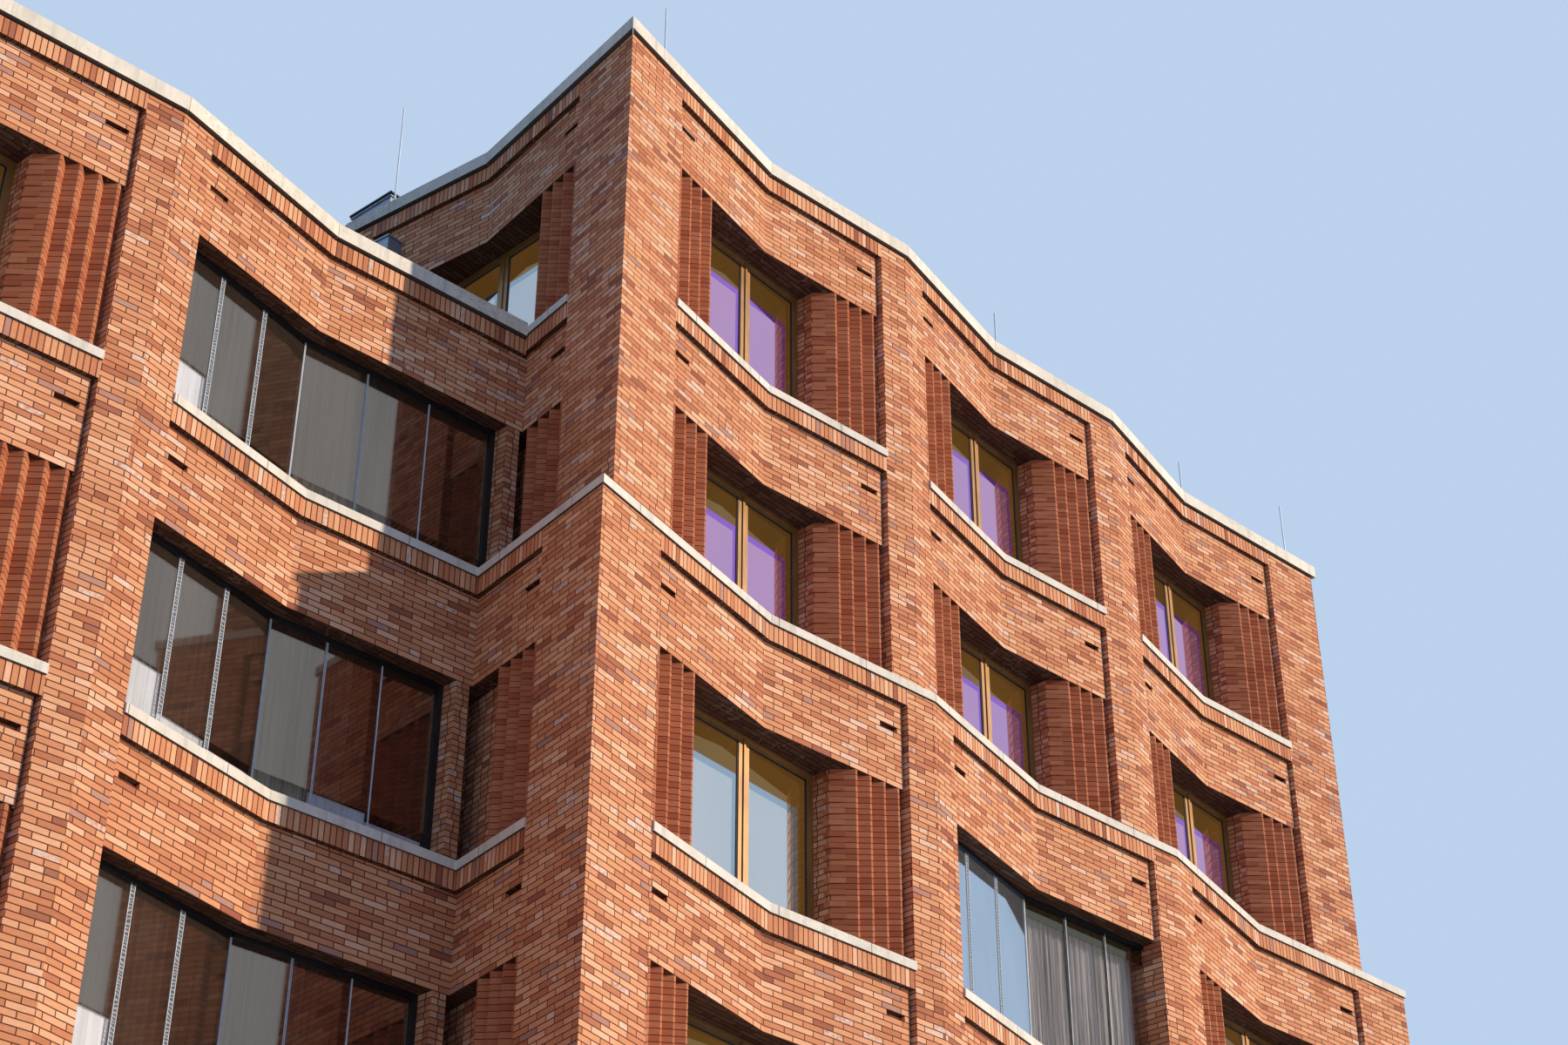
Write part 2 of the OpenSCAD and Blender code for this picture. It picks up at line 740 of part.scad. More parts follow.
module wing_panels() {
    color(brick_panel)
        for (k = [0 : wing_storeys]) {
            top = k == wing_storeys ? wing_top_z - soldier_h : band_soldier_z(k);
            wing_band(k <= base_storeys ? BASE : TOP, panel_recess, panel_z(k), top - panel_z(k));
        }
}

module wing_soldiers() {
    color(brick_soldier)
        for (k = [0 : wing_storeys]) {
            z = k == wing_storeys ? wing_top_z - soldier_h : band_soldier_z(k);
            wing_band(k <= base_storeys ? BASE : TOP, 0, z, soldier_h);
        }
}

module wing_jambs() {
    color(brick_jamb)
        for (k = [0 : wing_storeys - 1]) {
            for (q = [FRONT, REAR]) {
                prism(jamb_outline(WING, q, bay_start(WING, q, 0), 1), window_z(k), window_h);
                prism(jamb_outline(WING, q, bay_end(WING, q, 0), -1), window_z(k), window_h);
            }
            for (i = [0 : end_bays - 1]) {
                prism(jamb_outline(WING, LEFT, bay_start(WING, LEFT, i), 1), window_z(k), window_h);
                prism(jamb_outline(WING, LEFT, bay_end(WING, LEFT, i), -1), window_z(k), window_h);
            }
        }
}

// The sill of the wing's bay beside the tower ends at the tower's face
function cut_sill_outline(v, q) = [
    face(WING, q, bay_start(WING, q, INNER_BAY), -sill_overhang),
    face(WING, q, valley(WING, q, INNER_BAY), -sill_overhang),
    junction(v, q, -sill_overhang, -sill_overhang),
    junction(v, q, 0, 0),
    flank_a(v, q, 0),
    inner(WING, q, bay_start(WING, q, INNER_BAY))
];

module wing_sills() {
    color(stone)
        for (k = [0 : wing_storeys - 1]) {
            for (q = [FRONT, REAR]) {
                prism(sill_outline(WING, q, 0), sill_z(k), sill_t);
                prism(cut_sill_outline(BASE, q), sill_z(k), sill_t);
            }
            for (i = [0 : end_bays - 1])
                prism(sill_outline(WING, LEFT, i), sill_z(k), sill_t);
        }
}

module wing_frames() {
    color(bronze)
        for (k = [0 : wing_storeys - 1]) {
            for (q = [FRONT, REAR])
                window_frame(WING, q, 0, k);
            for (i = [0 : end_bays - 1])
                window_frame(WING, LEFT, i, k);
        }
}

module wing_glass() {
    color(clear_glass)
        for (k = [0 : wing_storeys - 1]) {
            for (q = [FRONT, REAR])
                window_glass(WING, q, 0, k);
            for (i = [0 : end_bays - 1])
                window_glass(WING, LEFT, i, k);
        }
}

// Stones of the wing's coping, over in front of the face: between two places along a side
function wing_stone(q, a, b, over) = [
    face(WING, q, a, -over), face(WING, q, b, -over), inner(WING, q, b), inner(WING, q, a)
];

// The two mitred stones at a corner: on side q, and on the wing's end
function wing_side_stone(q, over) =
    let (b = valley(WING, q, 0) - stone_gap / 2)
    let (away = plan(WING, q, 1, 0) - plan(WING, q, 0, 0))
    [
        wing_tip(q, -over) + away * stone_gap,
        face(WING, q, b, -over),
        inner(WING, q, b),
        inner_meet(WING, q, LEFT) + away * stone_gap
    ];
function wing_end_stone(q, over) =
    let (front = q == FRONT)
    let (b = front ? valley(WING, LEFT, end_bays - 1) + stone_gap / 2 : valley(WING, LEFT, 0) - stone_gap / 2)
    let (away = plan(WING, LEFT, front ? -1 : 1, 0) - plan(WING, LEFT, 0, 0))
    [
        wing_tip(q, -over) + away * stone_gap,
        face(WING, LEFT, b, -over),
        inner(WING, LEFT, b),
        inner_meet(WING, q, LEFT) + away * stone_gap
    ];

// The last stone ends beside the tower's left face
function wing_last_stone(q, over) =
    let (a = valley(WING, q, INNER_BAY) + stone_gap / 2)
    let (b = bay_end(WING, q, INNER_BAY))
    let (flank = [flank_a(TOP, q, -sill_overhang), flank_b(TOP, q, -sill_overhang)])
    [
        face(WING, q, a, -over),
        meet(face(WING, q, a, -over), face(WING, q, b, -over), flank[0], flank[1]),
        meet(inner(WING, q, a), inner(WING, q, b), flank[0], flank[1]),
        inner(WING, q, a)
    ];

function wing_side_stones(q, over) =
    let (g = stone_gap / 2)
    let (low = valley(WING, q, 0))
    let (mid = low + (wing_panel_w + pier_w) / 2)
    let (high = valley(WING, q, INNER_BAY))
    concat(
        [wing_side_stone(q, over), wing_end_stone(q, over), wing_last_stone(q, over)],
        [wing_stone(q, low + g, mid - g, over), wing_stone(q, mid + g, high - g, over)]
    );
function wing_end_stones(over) =
    let (g = stone_gap / 2)
    let (low = valley(WING, LEFT, 0))
    let (mid = low + (wing_panel_w + pier_w) / 2)
    let (high = valley(WING, LEFT, end_bays - 1))
    [wing_stone(LEFT, low + g, mid - g, over), wing_stone(LEFT, mid + g, high - g, over)];
function wing_stones(over) = concat(
    wing_side_stones(FRONT, over), wing_side_stones(REAR, over), wing_end_stones(over)
);

module wing_coping() {
    color(stone) {
        for (outline = wing_stones(-coping_bed_h))
            prism(outline, wing_top_z, coping_bed_h);
        for (outline = wing_stones(coping_overhang))
            prism(outline, wing_top_z + coping_bed_h, coping_h - coping_bed_h);
    }
}

// The party wall closes the tower behind the wing
function party_outline() = [
    plan(TOP, LEFT, wing_s(TOP, REAR), 0),
    plan(TOP, LEFT, wing_s(TOP, FRONT), 0),
    inner(BASE, LEFT, wing_s(BASE, FRONT)),
    inner(BASE, LEFT, wing_s(BASE, REAR))
];

module party_wall() {
    color(brick_jamb)
        prism(party_outline(), 0, panel_z(wing_storeys));
}

function wing_room_outline() = [
    inner_meet(WING, LEFT, FRONT),
    plan(TOP, LEFT, wing_s(TOP, FRONT), 0),
    plan(TOP, LEFT, wing_s(TOP, REAR), 0),
    inner_meet(WING, REAR, LEFT)
];

module wing_floors() {
    color(concrete) {
        prism(wing_room_outline(), 0, ground_slab_t);
        for (k = [1 : wing_storeys - 1])
            prism(wing_room_outline(), k * storey_h - slab_t, slab_t);
    }
}

// The wing's roof follows the tower's panels and piers: places along the left side, each with its recess
function flank_steps() = [
    for (i = [0 : tower_bays - 1])
        let (a = bay_start(TOP, LEFT, i))
        let (b = bay_end(TOP, LEFT, i))
        let (r = panel_recess)
        each [[a, 0], [a, r], [(a + b) / 2, r], [b, r], [b, 0], [b + pier_w / 2, 0]]
];
function flank_recess(s) = valley_gap(TOP, LEFT, s) < panel_w(TOP, LEFT) / 2 ? panel_recess : 0;
function roof_edge() =
    let (low = wing_s(TOP, REAR))
    let (high = wing_s(TOP, FRONT))
    concat(
        [face(TOP, LEFT, low, flank_recess(low))],
        [for (p = flank_steps()) if (p[0] > low && p[0] < high) face(TOP, LEFT, p[0], p[1])],
        [face(TOP, LEFT, high, flank_recess(high))]
    );

module wing_roof() {
    outline = concat([inner_meet(WING, LEFT, FRONT), inner_meet(WING, REAR, LEFT)], roof_edge());
    color(zinc)
        prism(outline, wing_roof_z - slab_t, slab_t);
}

// Loggias

// Ends of a loggia's glazing: the tower's middle bay, and the wing's bay up to the slim strip
function glaze_start(v, q, i) = bay_start(v, q, i);
function glaze_end(v, q, i, w) =
    let (tower_x = junction(w, q, panel_recess, panel_recess)[0])
    v == WING ? tower_x - x0(WING) - nib_gap - nib_w - post_w : bay_end(v, q, i);
leaf_e = panel_recess + leaf_d;
rail_e = leaf_e - (rail_w - leaf_t) / 2;

// The straight runs on the two sides of the fold
function glaze_runs(v, q, i, w) = [
    [glaze_start(v, q, i), valley(v, q, i)],
    [valley(v, q, i), glaze_end(v, q, i, w)]
];
function run_outline(v, q, a, b, e, t) = [
    face(v, q, a, e), face(v, q, b, e), face(v, q, b, e + t), face(v, q, a, e + t)
];
function leaf_outlines(v, q, i, w, e, t) = [
    for (run = glaze_runs(v, q, i, w), j = [0 : leaves - 1])
        let (step = (run[1] - run[0]) / leaves)
        run_outline(v, q, run[0] + j * step + leaf_gap / 2, run[0] + (j + 1) * step - leaf_gap / 2, e, t)
];

module rails(v, q, i, k, w) {
    for (run = glaze_runs(v, q, i, w)) {
        inner_a = run[0] == valley(v, q, i) ? run[0] + leaf_gap / 2 : run[0];
        inner_b = run[1] == valley(v, q, i) ? run[1] - leaf_gap / 2 : run[1];
        outline = run_outline(v, q, inner_a, inner_b, rail_e, rail_w);
        prism(outline, window_z(k), rail_h);
        prism(outline, window_z(k) + window_h - rail_h, rail_h);
    }
}

module glass_leaves(v, q, i, k, w) {
    for (outline = leaf_outlines(v, q, i, w, leaf_e, leaf_t))
        prism(outline, window_z(k) + rail_h, window_h - 2 * rail_h);
}

function wing_volume(k) = k < base_storeys ? BASE : TOP;

module loggia_rails() {
    color(dark_metal) {
        for (k = [1 : base_storeys - 1])
            rails(BASE, FRONT, ENTRANCE_BAY, k, BASE);
        for (q = [FRONT, REAR], k = [0 : wing_storeys - 1])
            rails(WING, q, INNER_BAY, k, wing_volume(k));
    }
}

module loggia_leaves() {
    color(clear_glass) {
        for (k = [1 : base_storeys - 1])
            glass_leaves(BASE, FRONT, ENTRANCE_BAY, k, BASE);
        for (q = [FRONT, REAR], k = [0 : wing_storeys - 1])
            glass_leaves(WING, q, INNER_BAY, k, wing_volume(k));
    }
}

module loggia_panels() {
    color("whitesmoke")
        for (q = [FRONT, REAR], k = [0 : wing_storeys - 1])
            for (outline = leaf_outlines(WING, q, INNER_BAY, wing_volume(k), rail_e + rail_w, lower_panel_t))
                prism(outline, window_z(k), lower_panel_h);
}

module loggia_posts() {
    color(dark_metal)
        for (q = [FRONT, REAR], k = [0 : wing_storeys - 1]) {
            a = glaze_end(WING, q, INNER_BAY, wing_volume(k));
            prism(run_outline(WING, q, a, a + post_w, rail_e, rail_w), window_z(k), window_h);
        }
}

module loggia_strips() {
    color(brick)
        for (q = [FRONT, REAR], k = [0 : wing_storeys - 1]) {
            a = glaze_end(WING, q, INNER_BAY, wing_volume(k)) + post_w;
            b = a + nib_w;
            outer = [face(WING, q, a, panel_recess), face(WING, q, b, panel_recess)];
            prism(concat(outer, [inner(WING, q, b), inner(WING, q, a)]), window_z(k), window_h);
        }
}

// Entrance

entrance_a = bay_start(BASE, FRONT, ENTRANCE_BAY);
entrance_b = bay_end(BASE, FRONT, ENTRANCE_BAY);
entrance_m = valley(BASE, FRONT, ENTRANCE_BAY);

module entrance_frame() {
    left = entrance_m - door_w / 2;
    right = entrance_m + door_w / 2;
    color(bronze)
        difference() {
            prism(frame_outline(BASE, FRONT, entrance_a, entrance_b), 0, lintel_level);
            prism(hole_outline(BASE, FRONT, left, right), -bar_w, lintel_level);
            for (pane = [[entrance_a + bar_w, left - bar_w], [right + bar_w, entrance_b - bar_w]])
                prism(hole_outline(BASE, FRONT, pane[0], pane[1]), bar_w, lintel_level - 2 * bar_w);
        }
}

module entrance_doors() {
    color(bronze)
        for (side = [-1, 1]) {
            a = side < 0 ? entrance_m - door_w / 2 : entrance_m + stone_gap / 2;
            b = side < 0 ? entrance_m - stone_gap / 2 : entrance_m + door_w / 2;
            pane_h = lintel_level - 2 * bar_w - door_panel_h;
            difference() {
                prism(box_outline(BASE, FRONT, a, b, window_d, window_d + door_t), 0, lintel_level - bar_w);
                prism(hole_outline(BASE, FRONT, a + bar_w, b - bar_w), door_panel_h, pane_h);
            }
            pull_handle(entrance_m + side * (stone_gap + bar_w) / 2);
        }
}

// A bar on two posts in front of the leaf's inner stile
module pull_handle(s) {
    p = plan(BASE, FRONT, s, window_d);
    translate([p[0], p[1] - handle_out, handle_level - handle_l / 2])
        cylinder(r = handle_r, h = handle_l, $fn = 24);
    for (z = [handle_level - handle_l / 3, handle_level + handle_l / 3])
        translate([p[0], p[1], z])
            rotate([90, 0, 0])
                cylinder(r = handle_r / 2, h = handle_out, $fn = 16);
}

module entrance_glass() {
    color(clear_glass)
        prism(glass_outline(BASE, FRONT, entrance_a, entrance_b), 0, lintel_level);
}

// Roof pieces

// Lightning rods on the front's coping: in the two corners, and beside two folds
function corner_rods() = [
    face(TOP, FRONT, rod_left, corner_rod_d),
    face(TOP, FRONT, side_l(TOP, FRONT) - rod_right, corner_rod_d)
];
function fold_rods() = [
    for (i = [1 : tower_bays - 1]) face(TOP, FRONT, valley(TOP, FRONT, i) + rod_shift, short_rod_d)
];

// The nearest corner of the roof vent's lid, beyond the pier between the last two bays of the left side
vent_y = y1(TOP) - bay_end(TOP, LEFT, tower_bays - 2) + 2 * lid_overhang;
vent_x = inner(TOP, LEFT, y1(TOP) - vent_y)[0] + coping_overhang / 2 + vent_gap;
lid_w = vent_w + 2 * lid_overhang;

module rod(p, z, h) {
    translate([p[0], p[1], z])
        cylinder(r = rod_r, h = h, $fn = 16);
}

module lightning_rods() {
    color(dark_metal) {
        for (p = corner_rods())
            rod(p, tower_top_z + coping_h, rod_h);
        for (p = fold_rods())
            rod(p, tower_top_z + coping_h, short_rod_h);
        rod([vent_x + lid_post_w, vent_y - lid_post_w], tower_roof_z, tall_rod_h);
    }
}

// The vent's body has a framed panel on each side, a rim, and posts that carry the lid
module roof_vent() {
    body_h = vent_h - lid_t - lid_gap - rim_t;
    rim_w = vent_w + 2 * rim_overhang;
    open_w = vent_w - 2 * vent_frame_w;
    post_x = (vent_w - lid_post_w) / 2;
    color(zinc)
        translate([vent_x + lid_w / 2, vent_y + lid_w / 2, tower_roof_z]) {
            difference() {
                translate([-vent_w / 2, -vent_w / 2, 0])
                    cube([vent_w, vent_w, body_h]);
                for (turn = [0 : 90 : 270])
                    rotate([0, 0, turn])
                        translate([-open_w / 2, -vent_w, vent_frame_w])
                            cube([open_w, vent_w / 2 + vent_step, body_h - 2 * vent_frame_w]);
            }
            translate([-rim_w / 2, -rim_w / 2, body_h])
                cube([rim_w, rim_w, rim_t]);
            for (x = [-post_x, post_x], y = [-post_x, post_x])
                translate([x, y, body_h + rim_t + lid_gap / 2])
                    cube([lid_post_w, lid_post_w, lid_gap], center = true);
        }
}

module vent_lid() {
    color(dark_metal)
        translate([vent_x, vent_y, tower_roof_z + vent_h - lid_t])
            cube([lid_w, lid_w, lid_t]);
}

// The hopper hangs on the panel of the left side's last bay, beside the pier
hopper_a = bay_start(TOP, LEFT, tower_bays - 1) + hopper_gap;
hopper_z = tower_roof_z - hopper_drop - hopper_lid_t - hopper_h;

module rain_hopper() {
    b = hopper_a + hopper_w;
    body = run_outline(TOP, LEFT, hopper_a, b, panel_recess - hopper_d, hopper_d);
    out = hopper_lid_overhang;
    lid = run_outline(TOP, LEFT, hopper_a - out, b + out, panel_recess - hopper_d - out, hopper_d + out);
    color(zinc) {
        prism(body, hopper_z, hopper_h);
        prism(lid, hopper_z + hopper_h, hopper_lid_t);
    }
}

// The pipe runs from the hopper past the sill to the wing's roof, in clamps
module rain_pipe() {
    p = face(TOP, LEFT, hopper_a + hopper_w / 2, -sill_overhang - pipe_gap - pipe_r);
    h = hopper_z - wing_roof_z;
    color(zinc)
        translate([p[0], p[1], wing_roof_z]) {
            cylinder(r = pipe_r, h = h, $fn = 32);
            for (z = [h / 6, h / 2, 5 * h / 6])
                translate([0, 0, z])
                    cylinder(r = pipe_r + clamp_t, h = clamp_h, $fn = 32);
        }
}

base_piers();
base_panels();
base_soldiers();
base_jambs();
base_sills();
base_frames();
base_glass();
ledge_cap();
top_piers();
top_panels();
top_soldiers();
top_jambs();
top_sills();
top_frames();
top_glass();
tower_coping();
tower_floors();
tower_roof();
wing_piers();
wing_panels();
wing_soldiers();
wing_jambs();
wing_sills();
wing_frames();
wing_glass();
wing_coping();
wing_floors();
wing_roof();
party_wall();
loggia_rails();
loggia_leaves();
loggia_panels();
loggia_posts();
loggia_strips();
entrance_frame();
entrance_doors();
entrance_glass();
lightning_rods();
roof_vent();
vent_lid();
rain_hopper();
rain_pipe();
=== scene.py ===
import math

import bpy
import numpy as np
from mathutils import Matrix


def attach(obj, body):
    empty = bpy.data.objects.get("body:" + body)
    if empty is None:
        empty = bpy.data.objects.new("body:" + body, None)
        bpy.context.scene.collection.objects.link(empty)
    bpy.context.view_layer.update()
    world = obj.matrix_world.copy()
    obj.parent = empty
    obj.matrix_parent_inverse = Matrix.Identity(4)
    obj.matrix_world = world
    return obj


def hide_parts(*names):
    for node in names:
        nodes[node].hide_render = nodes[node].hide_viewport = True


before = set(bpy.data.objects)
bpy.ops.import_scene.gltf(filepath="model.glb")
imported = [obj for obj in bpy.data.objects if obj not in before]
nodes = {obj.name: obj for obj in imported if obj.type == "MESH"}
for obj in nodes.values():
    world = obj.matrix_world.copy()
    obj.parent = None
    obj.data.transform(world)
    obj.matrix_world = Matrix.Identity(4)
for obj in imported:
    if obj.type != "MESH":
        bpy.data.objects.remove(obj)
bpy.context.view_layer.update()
print("frame loaded:", len(nodes), "nodes")


# Camera and light

camera = {
    "place": (-14.938, -14.607, 1.915),  # eye height in the street, in front of the wing
    "tiltUp": 34.245,
    "heading": 39.98,  # degrees from +X towards +Y
    "lens": 62.4,
    "sensor": 36.0,
    "sees": (0.1, 900.0),
}
light = {
    "sunHeading": -57.0,  # where the light comes from, degrees from +X towards +Y
    "sunHeight": 17.0,
    "sunPower": 3.88,
    "sunSoftness": 1.2,
    "sunColour": (1.0, 0.87, 0.73),
    "skyPower": 0.50,
    "skyColour": (0.27, 0.50, 1.0, 1.0),
    "backdrop": (0.50, 0.64, 0.84, 1.0),
}


def addObject(name, data):
    thing = bpy.data.objects.new(name, data)
    bpy.context.scene.collection.objects.link(thing)
    return thing


def aim(thing, height, heading):
    # turned to look so many degrees up, and so many degrees from +X towards +Y
    thing.rotation_euler = (math.radians(90.0 + height), 0.0, math.radians(heading - 90.0))


def makeCamera():
    lens = bpy.data.cameras.new("streetCamera")
    lens.lens = camera["lens"]
    lens.sensor_width = camera["sensor"]
    lens.clip_start, lens.clip_end = camera["sees"]
    eye = addObject("streetCamera", lens)
    eye.location = camera["place"]
    aim(eye, camera["tiltUp"], camera["heading"])
    bpy.context.scene.camera = eye


def makeLight():
    lamp = bpy.data.lights.new("softSun", "SUN")
    lamp.energy = light["sunPower"]
    lamp.angle = math.radians(light["sunSoftness"])
    lamp.color = light["sunColour"]
    aim(addObject("softSun", lamp), -light["sunHeight"], light["sunHeading"] + 180.0)

    # the sky lights the block, and a paler backdrop is what the camera, mirrors and glass see of it
    world = bpy.data.worlds.new("paleStudio")
    world.use_nodes = True
    tree = world.node_tree
    tree.nodes.clear()
    path = put(tree, "LightPath").outputs
    seen = calc("MAXIMUM", path["Is Camera Ray"], path["Is Glossy Ray"])
    seen = calc("MAXIMUM", seen, path["Is Transmission Ray"])
    sky = put(tree, "Background", {"Color": light["skyColour"], "Strength": light["skyPower"]})
    back = put(tree, "Background", {"Color": light["backdrop"], "Strength": 1.0})
    both = feed("MixShader", {0: seen, 1: sky.outputs[0], 2: back.outputs[0]})
    feed("OutputWorld", {"Surface": both.outputs[0]})
    bpy.context.scene.world = world
    bpy.context.scene.view_settings.view_transform = "Standard"


# Small helpers for node trees

def fill(node, wires):
    # each wire is a socket to link or a plain value to set
    for key, value in wires.items():
        if isinstance(value, bpy.types.NodeSocket):
            node.id_data.links.new(value, node.inputs[key])
        else:
            node.inputs[key].default_value = value


def put(tree, kind, wires=None, **settings):
    node = tree.nodes.new("ShaderNode" + kind)
    for name, value in settings.items():
        setattr(node, name, value)
    fill(node, wires or {})
    return node


def feed(kind, wires, **settings):
    # a node in the tree that its first socket comes from
    sockets = (value for value in wires.values() if isinstance(value, bpy.types.NodeSocket))
    return put(next(sockets).id_data, kind, wires, **settings)


def calc(operation, *values, clamp=False):
    node = feed("Math", dict(enumerate(values)), operation=operation, use_clamp=clamp)
    return node.outputs[0]


def times(*values):
    product = values[0]
    for value in values[1:]:
        product = calc("MULTIPLY", product, value)
    return product


def plus(first, second):
    return calc("ADD", first, second)


def minus(first, second):
    return calc("SUBTRACT", first, second)


def paint(colour):
    # a screen colour, 0 to 255, as the linear colour that nodes take
    c = np.array(colour) / 255.0
    c = np.where(c <= 0.04045, c / 12.92, ((c + 0.055) / 1.055) ** 2.4)
    return (float(c[0]), float(c[1]), float(c[2]), 1.0)


def mixColour(factor, first, second, mode="MIX"):
    wires = {0: factor, 6: first, 7: second}
    return feed("Mix", wires, data_type="RGBA", blend_type=mode).outputs[2]


def blend(factor, first, second):
    # two screen colours
    return mixColour(factor, paint(first), paint(second))


def tint(factor, ground, colour):
    # a screen colour laid over the ground
    return mixColour(factor, ground, paint(colour))


def grey(value):
    return feed("CombineColor", {0: value, 1: value, 2: value}).outputs[0]


def mixValue(factor, first, second):
    return feed("Mix", {0: factor, 2: first, 3: second}, data_type="FLOAT").outputs[0]


def mapValue(value, low, high, toLow=0.0, toHigh=1.0, smooth=False):
    wires = {0: value, 1: low, 2: high, 3: toLow, 4: toHigh}
    kind = "SMOOTHSTEP" if smooth else "LINEAR"
    return feed("MapRange", wires, interpolation_type=kind).outputs[0]


def colourRamp(factor, stops):
    node = feed("ValToRGB", {0: factor})
    ramp = node.color_ramp
    ramp.interpolation = "LINEAR"
    while len(ramp.elements) < len(stops):
        ramp.elements.new(0.5)
    for element, (place, colour) in zip(ramp.elements, stops):
        element.position = place
        element.color = paint(colour)
    return node.outputs[0]


def noise(vector, scale, detail=3.0, roughness=0.55):
    wires = {"Vector": vector, "Scale": scale, "Detail": detail, "Roughness": roughness}
    return feed("TexNoise", wires).outputs[0]


noiseSpan = (0.3, 0.7)  # where most of a noise's values lie


def spread(value, low=0.0, high=1.0):
    # a noise stretched from its span to low and high
    return mapValue(value, *noiseSpan, low, high)


def patches(vector, scale, span=noiseSpan, reach=(0.0, 1.0), detail=3.0, roughness=0.55):
    # noise whose values in the span are stretched to the reach
    return mapValue(noise(vector, scale, detail, roughness), *span, *reach)


def dice(place):
    # a value and a colour drawn anew for every place
    return feed("TexWhiteNoise", {"Vector": place}, noise_dimensions="3D").outputs


def stretch(vector, scale):
    return feed("Mapping", {"Vector": vector, "Scale": scale}).outputs[0]


def splitVector(vector):
    return feed("SeparateXYZ", {0: vector}).outputs


def objectPlace(tree):
    return put(tree, "TexCoord").outputs["Object"]


def ownValue(tree, name):
    # a value that the piece's own points carry
    return put(tree, "Attribute", attribute_name=name).outputs["Fac"]


def bump(height, distance):
    return feed("Bump", {"Height": height, "Distance": distance, "Strength": 1.0}).outputs[0]


def newGroup(name, inputs, outputs):
    tree = bpy.data.node_groups.new(name, "ShaderNodeTree")
    for label, value in inputs.items():
        socket = tree.interface.new_socket(name=label, in_out="INPUT", socket_type="NodeSocketFloat")
        socket.default_value = value
    for label, kind in outputs.items():
        tree.interface.new_socket(name=label, in_out="OUTPUT", socket_type="NodeSocket" + kind)
    source = tree.nodes.new("NodeGroupInput").outputs
    sink = tree.nodes.new("NodeGroupOutput")
    return tree, source, lambda label, socket: tree.links.new(socket, sink.inputs[label])


def useGroup(tree, group, wires=None):
    return put(tree, "Group", wires, node_tree=group).outputs


def newMaterial(name):
    material = bpy.data.materials.new(name)
    material.use_nodes = True
    tree = material.node_tree
    tree.nodes.clear()
    shader = tree.nodes.new("ShaderNodeBsdfPrincipled")
    out = tree.nodes.new("ShaderNodeOutputMaterial")
    tree.links.new(shader.outputs[0], out.inputs["Surface"])
    return material, tree, shader


shaderSockets = {
    "colour": "Base Color", "roughness": "Roughness", "metallic": "Metallic", "normal": "Normal",
    "alpha": "Alpha", "coat": "Coat Weight", "coatRoughness": "Coat Roughness", "sheen": "Sheen Weight",
    "level": "Specular IOR Level", "glow": "Emission Color", "glowPower": "Emission Strength",
}


def wire(shader, **values):
    fill(shader, {shaderSockets[key]: value for key, value in values.items()})


# Brickwork: a group that lays the bricks, and one that colours them

brickLay = {
    "length": 0.2505,
    "course": 0.0625,
    "joint": 0.0095,
    "headerShare": 0.05,  # share of the bricks that are two headers
    "wobble": 0.004,  # how far the joints stray from straight
    "rowShift": 0.12,  # a row's own shift, as a share of a brick
    "soften": (-0.0015, 0.002),  # where the mortar meets the brick's edge
    "bump": 0.004,
}


def makeWallPlace():
    # along = the distance along a wall, from its normal and place; up = height; on level faces x and y;
    # under = 1 on faces that look down
    tree, _, give = newGroup("wallPlace", {}, {"Along": "Float", "Up": "Float", "Under": "Float"})
    place = splitVector(objectPlace(tree))
    normal = splitVector(put(tree, "NewGeometry").outputs["True Normal"])
    along = minus(times(normal[0], place[1]), times(normal[1], place[0]))
    level = calc("GREATER_THAN", calc("ABSOLUTE", normal[2]), 0.5)
    give("Along", mixValue(level, along, place[0]))
    give("Up", mixValue(level, place[2], place[1]))
    give("Under", calc("LESS_THAN", normal[2], -0.5))
    return tree


